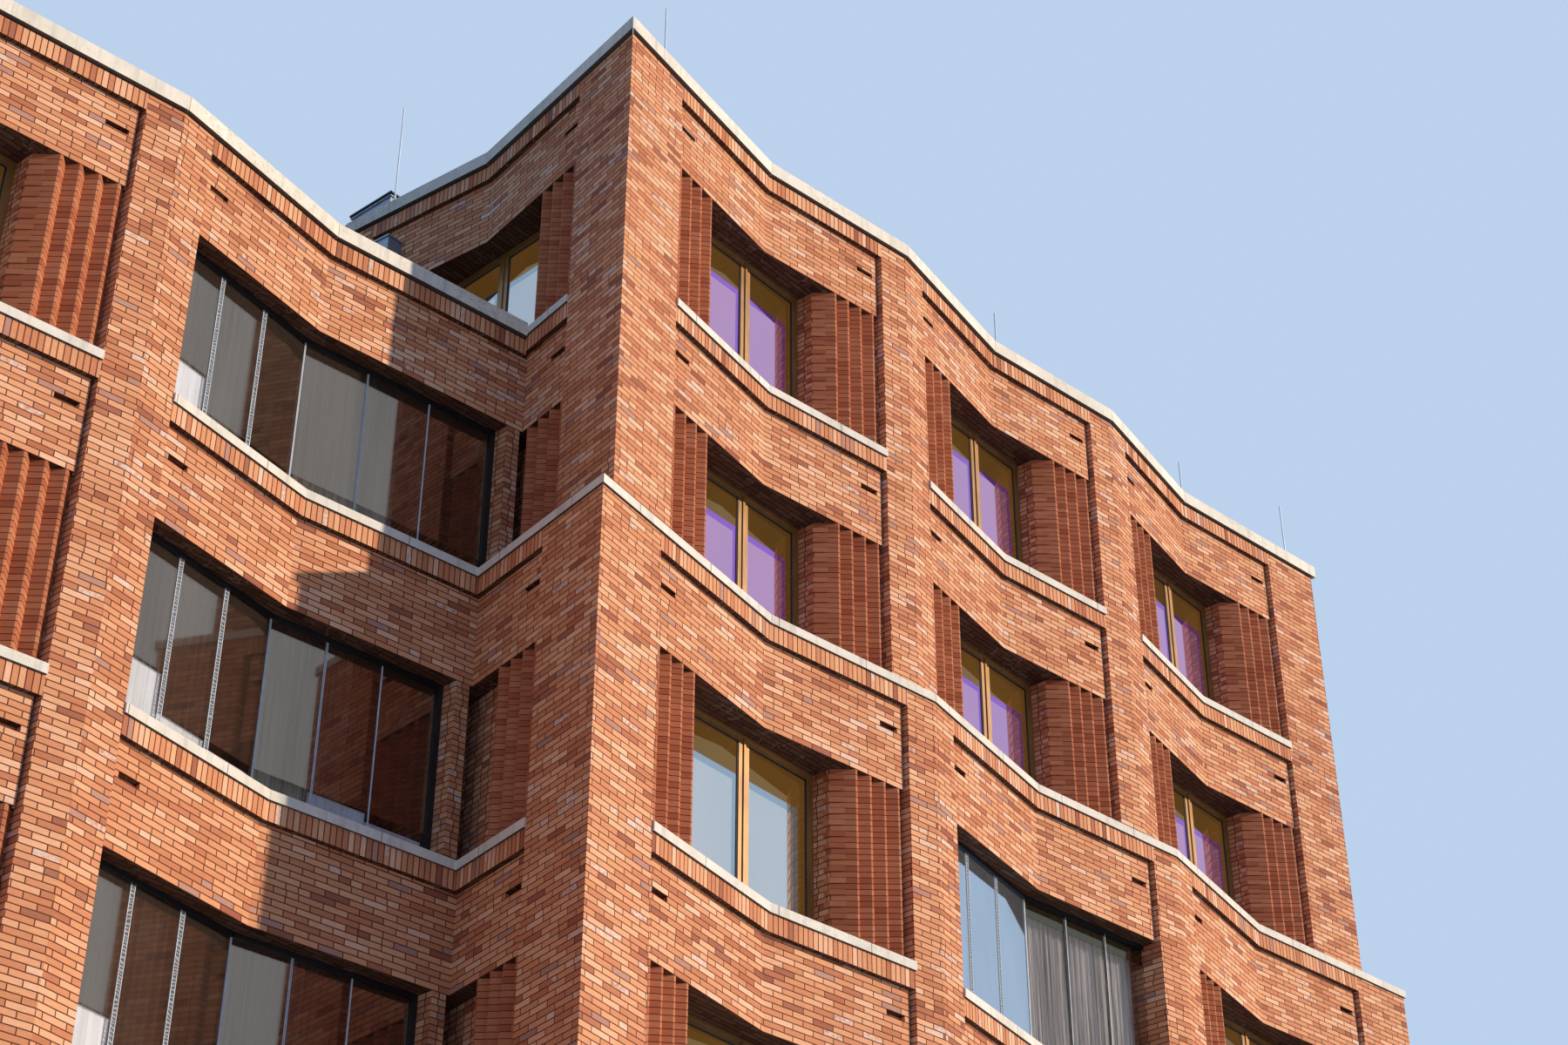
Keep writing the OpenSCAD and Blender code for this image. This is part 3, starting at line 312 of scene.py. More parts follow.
def makeBrickCourses(wallPlace):
    # rows = up / course; each other row shifts by half a brick, and all a little at random; some bricks are
    # two headers; face = how far a point is from the nearest joint, 0 in the joint and 1 on the brick
    tree, source, give = newGroup(
        "brickCourses",
        {"Brick Length": brickLay["length"], "Header Share": brickLay["headerShare"], "Upright": 0.0,
         "Seed": 0.0},
        {"Face": "Float", "Tone": "Float", "Odd": "Float", "Height": "Float", "Under": "Float"},
    )
    spot = useGroup(tree, wallPlace)
    place = objectPlace(tree)
    wobble = times(minus(noise(place, 9.0, 1.0), 0.5), brickLay["wobble"])
    along = plus(spot["Along"], wobble)
    up = plus(spot["Up"], wobble)
    across = mixValue(source["Upright"], along, up)
    rise = mixValue(source["Upright"], up, along)

    rows = calc("DIVIDE", rise, brickLay["course"])
    row = calc("FLOOR", rows)
    rowPart = minus(rows, row)
    rowSeed = plus(row, times(source["Seed"], 7.31))
    shift = feed("TexWhiteNoise", {"W": rowSeed}, noise_dimensions="1D").outputs["Value"]
    bond = times(calc("FLOORED_MODULO", row, 2.0), 0.5)
    shift = plus(times(shift, brickLay["rowShift"]), bond)
    shift = times(shift, minus(1.0, source["Upright"]))

    cells = plus(calc("DIVIDE", across, source["Brick Length"]), shift)
    cell = calc("FLOOR", cells)
    part = minus(cells, cell)
    brick = feed("CombineXYZ", {0: cell, 1: row, 2: source["Seed"]}).outputs[0]
    split = calc("LESS_THAN", dice(brick)["Value"], source["Header Share"])
    half = times(calc("GREATER_THAN", part, 0.5), split)
    header = {0: plus(cell, times(half, 0.37)), 1: row, 2: plus(source["Seed"], 0.5)}
    header = feed("CombineXYZ", header).outputs[0]
    chance = feed("SeparateColor", {0: dice(header)["Color"]}).outputs

    toEnd = calc("MINIMUM", part, minus(1.0, part))
    toMiddle = calc("ABSOLUTE", minus(part, 0.5))
    toHead = mixValue(split, toEnd, calc("MINIMUM", toEnd, toMiddle))
    toHead = times(toHead, source["Brick Length"])
    toBed = calc("MINIMUM", rowPart, minus(1.0, rowPart))
    toBed = times(toBed, brickLay["course"])
    away = minus(calc("MINIMUM", toHead, toBed), brickLay["joint"] / 2)
    face = mapValue(away, *brickLay["soften"], smooth=True)
    lift = mapValue(chance[2], 0.0, 1.0, 0.8, 1.0)
    pits = patches(place, 160.0, reach=(-0.12, 0.12), roughness=0.7)
    give("Face", face)
    give("Tone", chance[0])
    give("Odd", chance[1])
    give("Height", plus(times(face, lift), pits))
    give("Under", spot["Under"])
    return tree


brickLook = {
    "tones": [
        (0.00, (184, 110, 74)), (0.12, (205, 130, 87)), (0.36, (218, 145, 99)), (0.62, (227, 158, 110)),
        (0.86, (235, 172, 126)), (1.00, (243, 190, 150)),
    ],
    "bloom": (228, 198, 176),  # lime bloom on some bricks, in drifts
    "bloomShare": (0.008, 0.08),
    "violet": (182, 136, 118),
    "violetShare": 0.024,
    "violetAt": 0.3,  # the odd values round this one are violet, and the lowest ones burnt
    "burnt": (156, 90, 66),
    "burntShare": 0.035,
    "oddStrength": 0.85,  # how fully the violet and burnt bricks take their colour
    "salt": (150, 132, 122),  # pale salt lines under the lintels
    "saltWidth": 0.010,
    "saltStrength": 0.45,
    "mortar": (106, 58, 42),
    "mortarShade": 0.82,
    "roughness": 0.84,
    "underside": 0.86,  # how much painted shade darkens the faces that look down
    "level": 0.3,
}


def makeBrickColour():
    # the tone picks the clay's colour; a few bricks are violet grey, burnt, or pale with bloom; grain and
    # weather vary it; faces that look down carry painted shade, with thin lines of salt
    look = brickLook
    tree, source, give = newGroup(
        "brickColour",
        {"Face": 1.0, "Tone": 0.5, "Odd": 0.5, "Painted Shade": 0.0, "Under": 0.0},
        {"Colour": "Color", "Roughness": "Float"},
    )
    place = objectPlace(tree)
    odd, under = source["Odd"], source["Under"]
    clay = colourRamp(source["Tone"], look["tones"])
    isBurnt = calc("LESS_THAN", odd, look["burntShare"])
    isViolet = calc("ABSOLUTE", minus(odd, look["violetAt"]))
    isViolet = calc("LESS_THAN", isViolet, look["violetShare"] / 2)
    drift = patches(place, 0.42, (0.42, 0.66), look["bloomShare"], roughness=0.6)
    hasBloom = calc("GREATER_THAN", odd, minus(1.0, drift))
    patchy = patches(place, 26.0, (0.36, 0.6), roughness=0.6)
    clay = tint(times(isViolet, look["oddStrength"]), clay, look["violet"])
    clay = tint(times(isBurnt, look["oddStrength"]), clay, look["burnt"])
    clay = tint(times(hasBloom, patchy), clay, look["bloom"])

    grain = stretch(place, (14.0, 14.0, 70.0))
    grain = patches(grain, 1.0, reach=(0.90, 1.08), detail=4.0, roughness=0.65)
    weather = stretch(place, (0.5, 0.5, 0.25))
    weather = patches(weather, 1.0, reach=(0.93, 1.05), detail=4.0, roughness=0.6)
    # painted shade on the faces that look down, on the clay and on the mortar
    undersideShade = minus(1.0, times(under, look["underside"]))
    # the painted shade input darkens the whole brick
    shade = times(grain, weather, minus(1.0, source["Painted Shade"]), undersideShade)
    clay = mixColour(1.0, clay, grey(shade), "MULTIPLY")
    shaded = [c * look["mortarShade"] for c in look["mortar"]]
    mortar = blend(noise(place, 40.0), shaded, look["mortar"])
    mortar = mixColour(1.0, mortar, grey(undersideShade), "MULTIPLY")

    salt = calc("ABSOLUTE", minus(noise(place, 5.0, 2.0), 0.5))
    salt = calc("LESS_THAN", salt, look["saltWidth"])
    saltPatch = patches(place, 1.7, (0.52, 0.60), detail=2.0)
    salt = times(salt, saltPatch, under, look["saltStrength"])
    laid = mixColour(source["Face"], mortar, clay)
    give("Colour", tint(salt, laid, look["salt"]))
    rough = mapValue(odd, 0.0, 1.0, look["roughness"] + 0.08, look["roughness"] - 0.12)
    give("Roughness", mixValue(source["Face"], 0.95, rough))
    return tree


def brickMaterial(name, groups, laying, paintedShade=0.0):
    # laying = what this wall sets on the courses group; the painted shade darkens the whole wall
    material, tree, shader = newMaterial(name)
    courses, colours = groups
    laid = useGroup(tree, courses, laying)
    picked = {key: laid[key] for key in ("Face", "Tone", "Odd", "Under")}
    tinted = useGroup(tree, colours, {**picked, "Painted Shade": paintedShade})
    wire(shader, colour=tinted["Colour"], roughness=tinted["Roughness"],
         normal=bump(laid["Height"], brickLay["bump"]), level=brickLook["level"])
    return material


# painted shade on the jambs' teeth and headers
toothLook = {"paintedShade": 0.24, "red": (255, 224, 208), "redShare": (0.9, 0.5), "bump": 0.002}


def toothBrickMaterial(name, colours):
    # single bricks: their tone is their own value, the darker ones are redder, and painted shade darkens them
    # all
    material, tree, shader = newMaterial(name)
    tone = ownValue(tree, "tone")
    tinted = useGroup(tree, colours, {
        "Face": 1.0, "Tone": tone, "Odd": ownValue(tree, "odd"), "Painted Shade": toothLook["paintedShade"],
    })
    pits = noise(objectPlace(tree), 160.0, 3.0, 0.7)
    redness = mapValue(tone, 0.0, 0.5, *toothLook["redShare"])
    red = mixColour(redness, tinted["Colour"], paint(toothLook["red"]), "MULTIPLY")
    wire(shader, colour=red, roughness=tinted["Roughness"],
         normal=bump(pits, toothLook["bump"]), level=brickLook["level"])
    return material


# Stone, metal, glass and the plain finishes

stoneLook = {
    "sill": {"light": (238, 229, 210), "dark": (216, 206, 186), "speckle": 0.35, "joints": 1.0},
    "coping": {"light": (246, 235, 212), "dark": (226, 215, 192), "speckle": 0.55, "joints": 0.0},
    "speck": (140, 126, 104),
    "lichen": (172, 160, 120),
    "grime": (150, 152, 146),
    "streak": (132, 124, 112),
    "joint": (92, 84, 74),
    "shadow": (26, 20, 18),  # painted shadow on undersides and in bed joints
    "segment": 1.18,
    "beds": ((22.2425, 22.2625), (19.1675, 19.1875)),  # heights of the bed joints under the copings, black with painted shadow
}


def stoneMaterial(name, wallPlace, kind):
    # pale cast stone: cloudy ground, fine specks, lichen, patches of grime, rain streaks, thin joints between
    # the sills' lengths, and painted shadow on the undersides and in the bed joints at the given heights
    look = stoneLook
    speckle = look[kind]["speckle"]
    material, tree, shader = newMaterial(name)
    place = objectPlace(tree)
    cloud = patches(place, 2.3, detail=5.0, roughness=0.6)
    ground = blend(cloud, look[kind]["dark"], look[kind]["light"])
    specks = patches(place, 95.0, (0.56, 0.68), roughness=0.75)
    ground = tint(times(specks, speckle), ground, look["speck"])
    lichen = patches(place, 21.0, (0.50, 0.62), detail=4.0, roughness=0.7)
    lichen = times(lichen, patches(place, 0.8, (0.42, 0.60)))
    ground = tint(times(lichen, speckle * 0.8), ground, look["lichen"])
    grime = patches(place, 0.9, (0.46, 0.64), (0.0, 0.34), detail=4.0, roughness=0.65)
    ground = tint(times(grime, speckle), ground, look["grime"])
    streak = patches(stretch(place, (11.0, 11.0, 0.6)), 1.0, (0.52, 0.72), (0.0, 0.3))
    ground = tint(streak, ground, look["streak"])

    spot = useGroup(tree, wallPlace)
    part = calc("FRACT", calc("DIVIDE", spot["Along"], look["segment"]))
    toJoint = times(calc("MINIMUM", part, minus(1.0, part)), look["segment"])
    solid = mapValue(toJoint, 0.002, 0.005, smooth=True)
    solid = mixValue(look[kind]["joints"], 1.0, solid)
    colour = mixColour(solid, paint(look["joint"]), ground)
    # painted shadow on the undersides and in the bed joints under the copings
    dark = times(spot["Under"], 0.9)
    height = splitVector(place)[2]
    for low, high in look["beds"]:
        away = calc("ABSOLUTE", minus(height, (low + high) / 2))
        dark = calc("MAXIMUM", dark, calc("LESS_THAN", away, (high - low) / 2))
    colour = tint(dark, colour, look["shadow"])
    fine = noise(place, 60.0, 4.0, 0.7)
    wire(shader, colour=colour, roughness=spread(fine, 0.62, 0.85),
         normal=bump(plus(solid, times(fine, 0.3)), 0.003))
    return material


metalLook = {
    "bronze": {"light": (178, 130, 70), "dark": (128, 92, 48), "metallic": 0.38, "roughness": 0.36,
               "coat": 0.45, "grain": (180.0, 180.0, 3.0)},
    "lacquer": {"light": (40, 40, 42), "dark": (22, 22, 24), "metallic": 0.35, "roughness": 0.42,
                "coat": 0.0, "grain": (40.0, 40.0, 40.0)},
    "zinc": {"light": (162, 176, 190), "dark": (122, 136, 150), "metallic": 0.6, "roughness": 0.36,
             "coat": 0.0, "grain": (6.0, 6.0, 90.0)},
    "rod": {"light": (232, 236, 240), "dark": (196, 202, 208), "metallic": 0.2, "roughness": 0.4,
            "coat": 0.0, "grain": (90.0, 90.0, 6.0)},
    "gasket": {"light": (22, 22, 22), "dark": (12, 12, 12), "metallic": 0.0, "roughness": 0.6,
               "coat": 0.0, "grain": (60.0, 60.0, 60.0)},
}


def metalMaterial(name, kind):
    # lacquered or rolled metal, and the black gaskets: a cloudy tone over a drawn grain
    look = metalLook[kind]
    material, tree, shader = newMaterial(name)
    place = objectPlace(tree)
    cloud = noise(place, 1.7, 4.0, 0.6)
    grain = noise(stretch(place, look["grain"]), 1.0, 3.0, 0.6)
    mixed = plus(times(cloud, 0.6), times(grain, 0.4))
    colour = blend(mapValue(mixed, 0.32, 0.68), look["dark"], look["light"])
    rough = spread(grain, look["roughness"] - 0.06, look["roughness"] + 0.12)
    wire(shader, colour=colour, roughness=rough, metallic=look["metallic"], coat=look["coat"],
         coatRoughness=0.12, normal=bump(grain, 0.0006))
    return material


paneLook = {
    "violet": {"near": (226, 168, 200), "far": (212, 164, 204), "deep": (178, 116, 208)},
    "pale": {"near": (226, 222, 214), "far": (208, 212, 206), "deep": (176, 190, 196)},
    "violetFrom": (1.2, 15.9),  # x and height beyond which the front's panes are violet
    "violetTo": 2.0,  # y
    # olive head band: painted reflection of the lintel's soffit
    "olive": (118, 92, 48),
    "bandGlow": (124, 84, 36),  # painted glow in the head band, standing for a blind lit from inside
    "bandGlowPower": 0.5,
    "oliveFrom": 0.79,
    "sideBand": 0.13,  # how much wider the deep border, a painted reflection, is at the side of a window's second pane
    "deepSide": (0.905, 0.92),  # where the deep border, a painted reflection, begins at the side and at the top
    "deepTop": (0.735, 0.745),
    "bandSide": (0.985, 0.995),  # where the olive band, a painted reflection of the jamb, begins at the side
    "roughness": (0.012, 0.035),
    "metallic": 0.86,
}


def paneMaterial(name):
    # coated panes that mirror the sky and the lintel: violet high up on the front and clear elsewhere, a
    # soft gradient, a deeper border at the top and one side as painted reflection, an olive head band of
    # painted reflection with a painted glow, and faint dust
    look = paneLook
    material, tree, shader = newMaterial(name)
    place = objectPlace(tree)
    x, y, z = splitVector(place)
    across, up, _ = splitVector(put(tree, "UVMap", uv_map="pane").outputs[0])
    isViolet = times(calc("GREATER_THAN", z, look["violetFrom"][1]), calc("LESS_THAN", y, look["violetTo"]),
                     calc("GREATER_THAN", x, look["violetFrom"][0]))
    cloud = patches(stretch(place, (0.6, 0.6, 0.35)), 1.0, detail=2.0)
    second = ownValue(tree, "second")
    side = plus(across, times(second, look["sideBand"]))
    # painted reflection: a deeper border at the top and at one side
    deep = calc("MAXIMUM", mapValue(side, *look["deepSide"], smooth=True),
                mapValue(up, *look["deepTop"], smooth=True))
    pale, violet = (
        tint(deep, blend(cloud, look[kind]["near"], look[kind]["far"]), look[kind]["deep"])
        for kind in ("pale", "violet")
    )
    # painted reflection of the lintel in the head band, and of the jamb at the second pane's side
    reflectedBand = mapValue(up, look["oliveFrom"] - 0.01, look["oliveFrom"], smooth=True)
    sideBand = times(second, mapValue(side, *look["bandSide"], smooth=True))
    reflectedBand = calc("MAXIMUM", reflectedBand, sideBand)
    colour = tint(reflectedBand, mixColour(isViolet, pale, violet), look["olive"])
    # painted light: the head band glows
    glowShare = times(reflectedBand, mapValue(cloud, 0.0, 1.0, 0.6, 1.0))
    dust = noise(place, 14.0, 4.0, 0.7)
    wire(shader, colour=colour, roughness=spread(dust, *look["roughness"]), metallic=look["metallic"],
         level=0.7, glow=blend(glowShare, (0, 0, 0), look["bandGlow"]), glowPower=look["bandGlowPower"])
    return material


leafLook = {
    "wing": {"colour": (172, 152, 132), "alpha": 0.58},
    "low": {"heights": (0.672, 0.312), "alpha": 0.13},  # clear in front of the wing's white panels
    "towerLeft": {"colour": (206, 214, 220), "alpha": 0.90},
    "towerRight": {"colour": (170, 152, 138), "alpha": 0.24},
    "towerY": 0.9,  # the tower's leaves lie nearer the street than this
    "foldX": 6.78,  # across the tower loggia, its fold
    "metallic": 0.92,
    "head": {"colour": (112, 104, 82), "alpha": 0.8, "from": 1.645},  # band over the tower's curtained leaves
    "streak": (-0.07, 0.07),
    "roughness": (0.02, 0.07),
}


def leafMaterial(name, wallPlace):
    # clear leaves, part mirror and part open: the tower's left leaves mirror most, the others show what is
    # behind them, with a fine upright streak
    look = leafLook
    material, tree, shader = newMaterial(name)
    x, y, z = splitVector(objectPlace(tree))
    spot = useGroup(tree, wallPlace)
    along = feed("CombineXYZ", {0: spot["Along"], 2: spot["Up"]}).outputs[0]
    onTower = calc("LESS_THAN", y, look["towerY"])
    onRight = calc("GREATER_THAN", x, look["foldX"])
    towerColour = blend(onRight, look["towerLeft"]["colour"], look["towerRight"]["colour"])
    towerAlpha = mixValue(onRight, look["towerLeft"]["alpha"], look["towerRight"]["alpha"])
    colour = mixColour(onTower, paint(look["wing"]["colour"]), towerColour)

    above = calc("DIVIDE", minus(z, block["sillLevel"]), block["storey"])
    above = times(calc("FRACT", above), block["storey"])
    leafWidth = block["wingPanel"] / 2 / loggiaParts["leaves"]
    firstEnd = volumes["wing"][0] + bayEnds("wing", "front", 1)[0] + leafWidth
    firstLeaf = calc("LESS_THAN", x, firstEnd)
    reach = mixValue(firstLeaf, look["low"]["heights"][1], look["low"]["heights"][0])
    isLow = calc("LESS_THAN", above, reach)
    wingAlpha = mixValue(isLow, look["wing"]["alpha"], look["low"]["alpha"])
    alpha = mixValue(onTower, wingAlpha, towerAlpha)
    isHead = times(onTower, onRight, calc("GREATER_THAN", above, look["head"]["from"]))
    colour = tint(isHead, colour, look["head"]["colour"])
    alpha = mixValue(isHead, alpha, look["head"]["alpha"])

    fine = noise(stretch(along, (42.0, 1.0, 0.7)), 1.0)
    broad = patches(stretch(along, (1.3, 1.0, 0.4)), 1.0, reach=look["streak"], detail=2.0)
    streak = plus(spread(fine, *look["streak"]), broad)
    wire(shader, colour=colour, alpha=calc("ADD", alpha, streak, clamp=True),
         roughness=spread(fine, *look["roughness"]), metallic=look["metallic"], level=0.6)
    return material


seamLook = {
    "edge": (218, 226, 230), "hazeLight": (190, 198, 202), "hazeDark": (140, 148, 152), "strip": (16, 18, 20),
    "hazeAlpha": (0.16, 0.46), "stripAlpha": (0.86, 0.96),
    "marks": 190.0,  # radians of the cross marks' wave in a metre
}


def seamMaterial(name):
    # bright edges, between them a hazy strip with fine cross marks, and dark strips where web is 2
    look = seamLook
    material, tree, shader = newMaterial(name)
    place = objectPlace(tree)
    web = ownValue(tree, "web")
    height = plus(splitVector(place)[2], times(noise(place, 6.0), 0.12))
    marks = mapValue(calc("SINE", times(height, look["marks"])), -0.4, 0.8)
    isWeb = calc("MINIMUM", web, 1.0)
    isDark = calc("GREATER_THAN", web, 1.5)
    worn = patches(place, 9.0, reach=(0.7, 1.0))
    haze = blend(marks, look["hazeDark"], look["hazeLight"])
    colour = mixColour(isWeb, paint(look["edge"]), haze)
    colour = tint(isDark, colour, look["strip"])
    alpha = mixValue(isWeb, worn, mapValue(marks, 0.0, 1.0, *look["hazeAlpha"]))
    alpha = mixValue(isDark, alpha, mapValue(worn, 0.7, 1.0, *look["stripAlpha"]))
    glossy = patches(place, 30.0, reach=(0.12, 0.3))
    rough = mixValue(isDark, glossy, mapValue(worn, 0.7, 1.0, 0.7, 0.85))
    wire(shader, colour=colour, alpha=alpha, roughness=rough, level=0.4)
    return material


clothLook = {
    "wing": {"light": (178, 160, 140), "dark": (112, 100, 86)},
    "tower": {"light": (250, 240, 226), "dark": (70, 62, 56)},
    "sheen": 0.25,
    "threads": 1500.0,  # radians of the threads' wave in a metre
}


def clothMaterial(name, kind):
    # woven cloth: fine level threads, slubs along the drop, and a soft sheen
    look = clothLook[kind]
    material, tree, shader = newMaterial(name)
    place = objectPlace(tree)
    slub = noise(stretch(place, (46.0, 46.0, 0.6)), 1.0, 4.0, 0.7)
    threads = calc("SINE", times(splitVector(place)[2], clothLook["threads"]))
    weave = plus(times(slub, 0.8), times(threads, 0.06))
    colour = blend(mapValue(weave, 0.32, 0.49), look["dark"], look["light"])
    wire(shader, colour=colour, roughness=spread(slub, 0.8, 0.95),
         normal=bump(weave, 0.0012), sheen=clothLook["sheen"])
    return material


plasterLook = {
    "whitePanel": {"light": (236, 240, 242), "dark": (222, 227, 231), "cloud": 1.1, "rough": 0.35,
                   "depth": 0.0008},
    "castConcrete": {"light": (150, 147, 141), "dark": (122, 119, 114), "cloud": 1.3, "rough": 0.8,
                     "depth": 0.004},
    "paleFloor": {"light": (212, 212, 210), "dark": (208, 208, 206), "cloud": 3.0, "rough": 0.9,
                  "depth": 0.0004},
}


def plasterMaterial(name):
    # cast or coated surface: cloudy tone, pores, and a slightly uneven skin
    look = plasterLook[name]
    material, tree, shader = newMaterial(name)
    place = objectPlace(tree)
    cloud = noise(place, look["cloud"], 5.0, 0.6)
    pores = patches(place, look["cloud"] * 55.0, (0.62, 0.7), detail=2.0, roughness=0.7)
    colour = blend(spread(cloud), look["dark"], look["light"])
    colour = tint(times(pores, 0.35), colour, [c * 0.6 for c in look["dark"]])
    height = minus(times(cloud, 0.6), times(pores, 0.4))
    rough = spread(cloud, look["rough"] - 0.08, look["rough"] + 0.08)
    wire(shader, colour=colour, roughness=rough, normal=bump(height, look["depth"]))
    return material


roofLook = {
    "sheet": 1.05, "lap": 0.012, "light": (124, 126, 126), "dark": (96, 98, 99), "puddle": (158, 154, 144),
    "lapColour": (62, 63, 64),
}


def roofMaterial(name):
    # felt in sheets: laps every metre, mineral grain, and paler dried puddles
    look = roofLook
    material, tree, shader = newMaterial(name)
    place = objectPlace(tree)
    part = calc("FRACT", calc("DIVIDE", splitVector(place)[0], look["sheet"]))
    step = mapValue(part, 0.0, look["lap"], smooth=True)
    grain = noise(place, 220.0, 2.0, 0.7)
    puddle = mapValue(noise(place, 0.55, 4.0, 0.6), 0.45, 0.6, smooth=True)
    colour = blend(spread(grain), look["dark"], look["light"])
    colour = tint(times(puddle, 0.35), colour, look["puddle"])
    colour = mixColour(step, paint(look["lapColour"]), colour)
    wire(shader, colour=colour, roughness=spread(grain, 0.8, 0.95),
         normal=bump(plus(step, times(grain, 0.2)), 0.004))
    return material


# The block's plan, with the same sizes as its solids, in metres

block = {
    "storey": 3.125, "sillLevel": 0.5625, "windowHeight": 1.875, "topWidth": 13.56, "topDepth": 13.56,
    "setbackX": 0.435, "setbackY": 0.295, "skew": 0.055, "wingInset": 1.6, "wingPanel": 3.44,
    "corner": 0.85, "pier": 0.77, "fold": 0.137, "recess": 0.06, "bar": 0.075, "mullion": 0.15,
    "teeth": 4, "pitch": 0.19, "tooth": 0.095, "splay": 0.18,
    "baseStoreys": 5, "towerStoreys": 7, "wingStoreys": 6,
}
jambWidth = (block["teeth"] - 0.5) * block["pitch"] + block["splay"]
wingLength = block["corner"] + 2 * block["wingPanel"] + 1.5 * block["pier"]
wingDepth = 2 * block["corner"] + 2 * block["wingPanel"] + block["pier"]

volumes = {  # low and high x, low and high y
    "base": (-block["setbackX"], block["topWidth"] + block["setbackX"],
             -block["setbackY"], block["topDepth"] + block["setbackY"]),
    "top": (0.0, block["topWidth"], 0.0, block["topDepth"]),
    "wing": (-wingLength, 0.0, block["wingInset"], block["wingInset"] + wingDepth),
}


def towerVolume(storey):
    return "base" if storey < block["baseStoreys"] else "top"


def sillHeight(storey):
    return storey * block["storey"] + block["sillLevel"]


def planPoint(volume, side, s, d):
    # s along the side, d into the wall
    x0, x1, y0, y1 = volumes[volume]
    s, d = np.broadcast_arrays(np.asarray(s, float), np.asarray(d, float))
    if side == "front":
        return np.stack([x0 + s, y0 + d], -1)
    if side == "right":
        return np.stack([x1 - d, y0 + s], -1)
    if side == "back":
        return np.stack([x1 - s, y1 - d], -1)
    if side == "rear":
        return np.stack([x0 + s, y1 - d], -1)
    drift = 0.0 if volume == "wing" else block["skew"] * (y1 - s - y0)
    return np.stack([x0 + d + drift, y1 - s], -1)


def sideLength(volume, side):
    x0, x1, y0, y1 = volumes[volume]
    if side in ("front", "rear"):
        return x1 - x0
    if side == "back":
        return x1 - float(planPoint(volume, "left", 0.0, 0.0)[0])
    return y1 - y0


def bayCount(volume):
    return 2 if volume == "wing" else 3


def panelWidth(volume, side):
    if volume == "wing":
        return block["wingPanel"]
    n = bayCount(volume)
    return (sideLength(volume, side) - 2 * block["corner"] - (n - 1) * block["pier"]) / n


def valleyAt(volume, side, bay):
    w = panelWidth(volume, side)
    return block["corner"] + w / 2 + bay * (w + block["pier"])


def bayEnds(volume, side, bay):
    half = panelWidth(volume, side) / 2
    middle = valleyAt(volume, side, bay)
    return middle - half, middle + half


def facePoint(volume, side, s, e):
    # the folded face is deepest at a bay's middle: depth = e + fold x (half a bay - distance to the middle)
    s = np.asarray(s, float)
    gap = np.min([np.abs(s - valleyAt(volume, side, i)) for i in range(bayCount(volume))], axis=0)
    halfBay = (panelWidth(volume, side) + block["pier"]) / 2
    return planPoint(volume, side, s, e + block["fold"] * (halfBay - gap))


def windowList():
    # every plain window: volume, side, bay, storey
    found = []
    for k in range(block["towerStoreys"]):
        volume = towerVolume(k)
        sides = ["front", "right", "back"] + (["left"] if k >= block["wingStoreys"] else [])
        found += [(volume, side, i, k) for side in sides for i in range(3)
                  if not (volume == "base" and side == "front" and i == 1)]
    for k in range(block["wingStoreys"]):
        found += [("wing", side, i, k) for side, i in (("front", 0), ("rear", 0), ("left", 0), ("left", 1))]
    return found


def jambList():
    # every sawtooth jamb: volume, side, the pier's edge, the way along the side, storey
    found = []
    for volume, side, i, k in windowList():
        a, b = bayEnds(volume, side, i)
        found += [(volume, side, a, 1, k), (volume, side, b, -1, k)]
    for k in range(block["wingStoreys"]):
        volume = towerVolume(k)
        length = sideLength(volume, "left")
        found += [(volume, "left", length - block["corner"], -1, k), (volume, "left", block["corner"], 1, k)]
    return found


# Mesh makers

def meshPiece(name, shape, material, values=None, uv=None):
    # shape = points, the corner numbers of all faces in turn, and each face's number of corners
    points, loops, totals = shape
    mesh = bpy.data.meshes.new(name)
    mesh.vertices.add(len(points))
    mesh.vertices.foreach_set("co", np.asarray(points, np.float32).ravel())
    mesh.loops.add(len(loops))
    mesh.loops.foreach_set("vertex_index", np.asarray(loops, np.int32))
    mesh.polygons.add(len(totals))
    starts = np.concatenate([[0], np.cumsum(totals)[:-1]])
    mesh.polygons.foreach_set("loop_start", starts.astype(np.int32))
    mesh.polygons.foreach_set("loop_total", np.asarray(totals, np.int32))
    mesh.update(calc_edges=True)
    for label, data in (values or {}).items():
        layer = mesh.attributes.new(label, "FLOAT", "POINT")
        layer.data.foreach_set("value", np.asarray(data, np.float32))
    if uv is not None:
        layer = mesh.uv_layers.new(name="pane")
        layer.data.foreach_set("uv", np.asarray(uv, np.float32)[np.asarray(loops)].ravel())
    mesh.validate()
    mesh.shade_flat()
    mesh.materials.append(material)
    piece = addObject(name, mesh)
    return piece


def runsClockwise(outlines):
    following = np.roll(outlines, -1, axis=1)
    return np.sum(outlines[..., 0] * following[..., 1] - outlines[..., 1] * following[..., 0], axis=1) < 0


boxPoints = 8


